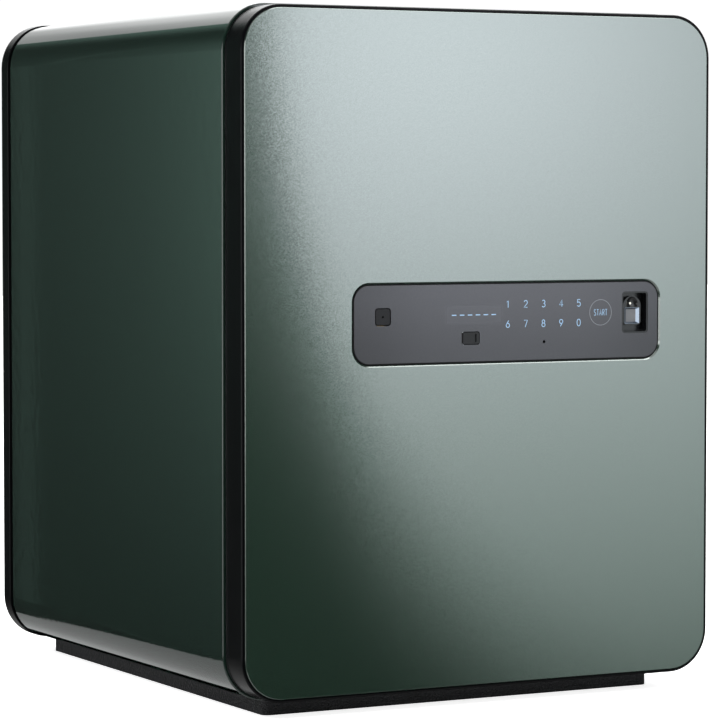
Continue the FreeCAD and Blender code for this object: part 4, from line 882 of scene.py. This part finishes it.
def side_glow(g, across, up, past):
    """Faint green-tinted light: a glow that grows leftwards and upwards, a thin streak and a haze.

    The haze lies just before the backdrop's left edge and only high up.
    """
    fall = g.math("MULTIPLY", g.math("SUBTRACT", across, GLOW_ACROSS), GLOW_FALL)
    falling = g.math("POWER", EULER, fall)
    falling = g.math("MULTIPLY", g.math("MINIMUM", falling, 1.1), g.ramp(across, -0.60, -0.50))
    glow = g.math("MULTIPLY", g.math("MULTIPLY", falling, GLOW_LIGHT), g.ramp(up, -0.17, 0.03, 0.06, 1.0))
    beside = g.math("ABSOLUTE", g.math("SUBTRACT", across, STREAK_ACROSS))
    streak = g.ramp(beside, 0.001, 0.005, STREAK_LIGHT, 0.0)
    haze = g.math("MULTIPLY", g.ramp(past, -0.22, 0.0, 0.0, HAZE_LIGHT), g.ramp(past, 0.0, 0.001, 1.0, 0.0))
    haze = g.math("MULTIPLY", haze, g.ramp(up, 0.30, 0.48, 0.0, 1.0))
    return g.math("ADD", g.math("ADD", glow, streak), haze)


def mirror_panels(g, direction):
    """Bright panels seen only in mirror-like surfaces such as bevels and rounded edges."""
    level = g.add("SeparateXYZ", {"Vector": direction}).outputs[2]
    total = 0.0
    for way, narrow, low_strength, strength in MIRROR_PANELS:
        toward = g.vector("DOT_PRODUCT", direction, way).outputs["Value"]
        panel = g.ramp(toward, narrow, narrow + 0.5 * (1 - narrow))
        panel = g.math("MULTIPLY", panel, g.ramp(level, -0.13, 0.03, low_strength, strength))
        total = g.math("ADD", panel, total)
    return g.math("MULTIPLY", total, g.add("LightPath").outputs["Is Glossy Ray"])


def studio_light(g, direction):
    """Light of the studio seen in a direction, as a white share and a green-tinted share.

    White: ceiling, walls, backdrop, floor and mirror panels. Tinted: the side glow.
    """
    axes = g.add("SeparateXYZ", {"Vector": direction})
    x, y, z = axes.outputs[0], axes.outputs[1], axes.outputs[2]
    behind = g.ramp(y, 0.10, 0.25)
    depth = g.math("MAXIMUM", y, 0.05)
    across, up = g.math("DIVIDE", x, depth), g.math("DIVIDE", z, depth)
    upward = g.ramp(up, -0.20, -0.05)
    screen, past = backdrop(g, across, up)
    rear = g.math("ADD", g.math("MULTIPLY", screen, upward), bright_floor(g, across, up))
    rear = g.math("MULTIPLY", rear, behind)
    front = g.math("SUBTRACT", 1.0, behind)
    ceiling = g.ramp(z, 0.45, 0.85, 0.0, 1.5)
    below = g.math("MULTIPLY", g.ramp(z, -0.60, -0.30, 0.90, 0.0), front)
    shaded = g.math("SUBTRACT", 1.0, not_under(g, across))
    under = g.math("MULTIPLY", shaded, g.ramp(up, -0.20, -0.10, 1.0, 0.0))
    walls = g.math("MULTIPLY", g.math("SUBTRACT", 1.0, g.math("MULTIPLY", under, behind)), WALL_LIGHT)
    plain = g.math("ADD", g.math("ADD", rear, ceiling), g.math("ADD", below, walls))
    plain = g.math("ADD", plain, mirror_panels(g, direction))
    tinted = g.math("MULTIPLY", side_glow(g, across, up, past), behind)
    return plain, tinted


def make_world():
    """White behind the object for the camera; the studio for every other ray."""
    world = bpy.data.worlds.new("studio")
    bpy.context.scene.world = world
    world.use_nodes = True
    g = Graph(world.node_tree)
    direction = g.add("TexCoord").outputs["Generated"]
    seen = g.add("LightPath").outputs["Is Camera Ray"]
    plain, tinted = studio_light(g, direction)
    studio = g.add("AddShader")
    g.feed(studio.inputs[0], g.add("Background", {"Color": (0.99, 1.0, 1.0), "Strength": plain}).outputs[0])
    g.feed(studio.inputs[1], g.add("Background", {"Color": (0.62, 1.0, 0.85), "Strength": tinted}).outputs[0])
    white = g.add("Background", {"Color": (1.0, 1.0, 1.0), "Strength": CAMERA_WHITE}).outputs[0]
    both = g.add("MixShader", {"Fac": seen})
    g.feed(both.inputs[1], studio.outputs[0])
    g.feed(both.inputs[2], white)
    g.add("OutputWorld", {"Surface": both.outputs[0]})


FLOOR_LIFT = 0.85            # added to the floor's own tone, for the camera only
FLOOR_HALF = 9.0             # metres
FLOOR_DROP = 0.0002          # below the safe's lowest point


def make_floor():
    """A plain pale floor. Mirror-like reflections pass it by and see the studio's own floor light."""
    bm = bmesh.new()
    bmesh.ops.create_grid(bm, x_segments=1, y_segments=1, size=FLOOR_HALF)
    mesh = bpy.data.meshes.new("floor")
    bm.to_mesh(mesh)
    bm.free()
    floor = bpy.data.objects.new("floor", mesh)
    bpy.context.scene.collection.objects.link(floor)
    floor.location.z = CAD_BOX[0].z - FLOOR_DROP
    floor.visible_glossy = False
    made, g = material("floor")
    path = g.add("LightPath")
    speck = g.ramp(g.noise(0.4).outputs[0], 0.2, 0.8, 0.90, 0.92)
    tone = g.add("CombineColor", {"Red": speck, "Green": speck, "Blue": speck}).outputs[0]
    plain = g.add("BsdfDiffuse", {"Color": tone}).outputs[0]
    seen = g.math("MULTIPLY", path.outputs["Is Camera Ray"], FLOOR_LIFT)
    lift = g.add("Emission", {"Color": (1, 1, 1), "Strength": seen})
    bright = g.add("AddShader")
    g.feed(bright.inputs[0], plain)
    g.feed(bright.inputs[1], lift.outputs[0])
    finish_material(g, bright.outputs[0])
    mesh.materials.append(made)


def aim(obj, target):
    """Turns an object's -Z towards a point."""
    obj.rotation_mode = "QUATERNION"
    obj.rotation_quaternion = (Vector(target) - obj.location).to_track_quat("-Z", "Y")


CAMERA_PLACE = Vector((-1.2643, -2.4049, 0.3910))
CAMERA_HEADING = 27.956      # degrees from +Y towards +X
CAMERA_PITCH = -2.928
CAMERA_LENS = 166.77         # millimetres
CAMERA_SENSOR = 36.0


def make_camera():
    data = bpy.data.cameras.new("camera")
    data.lens = CAMERA_LENS
    data.sensor_width = CAMERA_SENSOR
    camera = bpy.data.objects.new("camera", data)
    bpy.context.scene.collection.objects.link(camera)
    camera.location = CAMERA_PLACE
    heading, pitch = math.radians(CAMERA_HEADING), math.radians(CAMERA_PITCH)
    sight = Vector((math.sin(heading) * math.cos(pitch),
                    math.cos(heading) * math.cos(pitch),
                    math.sin(pitch)))
    aim(camera, CAMERA_PLACE + sight)
    bpy.context.scene.camera = camera


CARD_DISTANCE = 0.38         # in front of the door
CARD_STRENGTH = 8.0
CARD_REACH = 1.45            # half its size, in door half widths and heights as mirrored
CARD_FADE = 1.25             # where it starts to fade out
# The card's light is laid out in door half widths and heights, as it is seen mirrored in the door:
# across is 1 at the right edge, up is 1 at the top edge, both 0 in the middle.
# The first three are polynomials in up, from the constant term onwards.
EDGE_LINE = (-0.639, -0.489, 0.316, -0.106)      # where the light begins
EDGE_WIDTH = (0.711, -1.156, 0.769)              # how softly it begins
BODY_LIGHT = (0.293, 0.113, -0.064)              # its strength
EDGE_CRISP_LOW = 0.60        # share of that softness in the card itself, low down
EDGE_CRISP_HIGH = 0.30       # and high up
TAIL_SHARE = 0.25            # faint spill before the edge
TAIL_LENGTH = 0.20
HOT_LIGHT = 0.245            # brighter patch near the top
HOT_ACROSS = -0.269
HOT_UP = 1.042
HOT_WIDE = 1.228
HOT_HIGH = 0.837


def polynomial(g, factors, value):
    """A polynomial of a value, its factors given from the constant term onwards."""
    total = factors[-1]
    for factor in reversed(factors[:-1]):
        total = g.math("MULTIPLY_ADD", total, value, factor)
    return total


def card_light(g, across, up):
    """Brightness of the card: a soft-edged body with a faint tail and a brighter patch."""
    edge = polynomial(g, EDGE_LINE, up)
    crisp = g.ramp(up, -0.9, 0.2, EDGE_CRISP_LOW, EDGE_CRISP_HIGH)
    width = g.math("MAXIMUM", g.math("MULTIPLY", polynomial(g, EDGE_WIDTH, up), crisp), 0.05)
    step = g.math("ADD", g.math("DIVIDE", g.math("SUBTRACT", across, edge), width), 0.5)
    step = g.ramp(step, 0.0, 1.0)
    before = g.math("MAXIMUM", g.math("SUBTRACT", edge, across), 0.0)
    tail = g.math("MULTIPLY", g.math("POWER", EULER, g.math("DIVIDE", before, -TAIL_LENGTH)), TAIL_SHARE)
    shape = g.math("ADD", g.math("MULTIPLY", step, 1 - TAIL_SHARE), tail)
    right = g.math("POWER", g.math("DIVIDE", g.math("SUBTRACT", across, HOT_ACROSS), HOT_WIDE), 2.0)
    above = g.math("POWER", g.math("DIVIDE", g.math("SUBTRACT", up, HOT_UP), HOT_HIGH), 2.0)
    falling = g.math("MULTIPLY", g.math("ADD", right, above), -1.0)
    hot = g.math("MULTIPLY", g.math("POWER", EULER, falling), HOT_LIGHT)
    return g.math("MULTIPLY", shape, g.math("ADD", polynomial(g, BODY_LIGHT, up), hot))


def door_card():
    """A soft light panel in front of the door, seen only in reflections such as the door's sheen."""
    middle = (DOOR_LOW + DOOR_HIGH) / 2
    half = (DOOR_HIGH - DOOR_LOW) / 2
    stretch = CARD_DISTANCE / (DOOR_LOW.y - CAMERA_PLACE.y)
    bm = bmesh.new()
    bmesh.ops.create_grid(bm, x_segments=1, y_segments=1, size=CARD_REACH)
    for vert in bm.verts:
        vert.co = Vector((vert.co.x, 0, vert.co.y))
    mesh = bpy.data.meshes.new("door_card")
    bm.to_mesh(mesh)
    bm.free()
    card = bpy.data.objects.new("door_card", mesh)
    bpy.context.scene.collection.objects.link(card)
    card.location = Vector((middle.x + (middle.x - CAMERA_PLACE.x) * stretch, DOOR_LOW.y - CARD_DISTANCE,
                            middle.z + (middle.z - CAMERA_PLACE.z) * stretch))
    card.scale = Vector((half.x * (1 + stretch), 1, half.z * (1 + stretch)))
    made, g = material("door_card")
    spot = g.add("SeparateXYZ", {"Vector": g.place()})
    across, up = spot.outputs[0], spot.outputs[2]
    light = card_light(g, across, up)
    rim = g.math("MAXIMUM", g.math("ABSOLUTE", across), g.math("ABSOLUTE", up))
    light = g.math("MULTIPLY", light, g.ramp(rim, CARD_FADE, CARD_REACH, 1.0, 0.0))
    color = g.mix_color(g.ramp(light, 0.0, 0.5), (0.83, 1.0, 0.94), (0.95, 1.0, 1.06))
    shader = g.add("AddShader")
    g.feed(shader.inputs[0], g.add("BsdfTransparent").outputs[0])
    glow = g.add("Emission", {"Color": color, "Strength": g.math("MULTIPLY", light, CARD_STRENGTH)})
    g.feed(shader.inputs[1], glow.outputs[0])
    finish_material(g, shader.outputs[0])
    mesh.materials.append(made)
    card.visible_camera = False
    card.visible_diffuse = False
    card.visible_shadow = False
    card.visible_transmission = False


def soft_light(name, place, target, size, power):
    """A rectangular lamp that lights surfaces but shows in no reflection."""
    data = bpy.data.lights.new(name, "AREA")
    data.shape = "RECTANGLE"
    data.size, data.size_y = size
    data.energy = power
    light = bpy.data.objects.new(name, data)
    bpy.context.scene.collection.objects.link(light)
    light.location = place
    aim(light, target)
    light.visible_camera = False
    light.visible_glossy = False


def make_lights():
    """One lamp from the left, one broad fill from the front, one low strip along the plinth."""
    soft_light("side_light", Vector((-1.1, -0.9, 1.1)), (-0.2, -0.1, 0.35), (0.7, 0.7), 14)
    soft_light("fill_light", Vector((0.6, -1.8, 1.4)), (0.0, 0.0, 0.25), (1.2, 1.2), 10)
    soft_light("low_light", Vector((0.1, -1.3, 0.10)), (0.0, -0.2, 0.0), (1.0, 0.15), 1.2)


# ---------------------------------------------------------------- put it together
def main():
    materials = all_materials()
    dress_cad_nodes(materials)
    door_seal(materials)
    felt_sheet("floor_felt", "floor_mat", "cabinet", materials, ANCHOR_HOLES)
    felt_sheet("shelf_felt", "shelf_mat", "cabinet", materials)
    battery_springs(materials)
    pale_blue = lit("pale_blue_mark", (0.24, 0.38, 0.54), 1.0)
    key_digits(pale_blue)
    dash_marks(pale_blue)
    start_key(pale_blue, lit("pale_grey_mark", (0.20, 0.21, 0.23), 0.8))
    make_world()
    make_floor()
    door_card()
    make_lights()
    make_camera()
    bpy.context.scene.view_settings.view_transform = "Standard"


main()
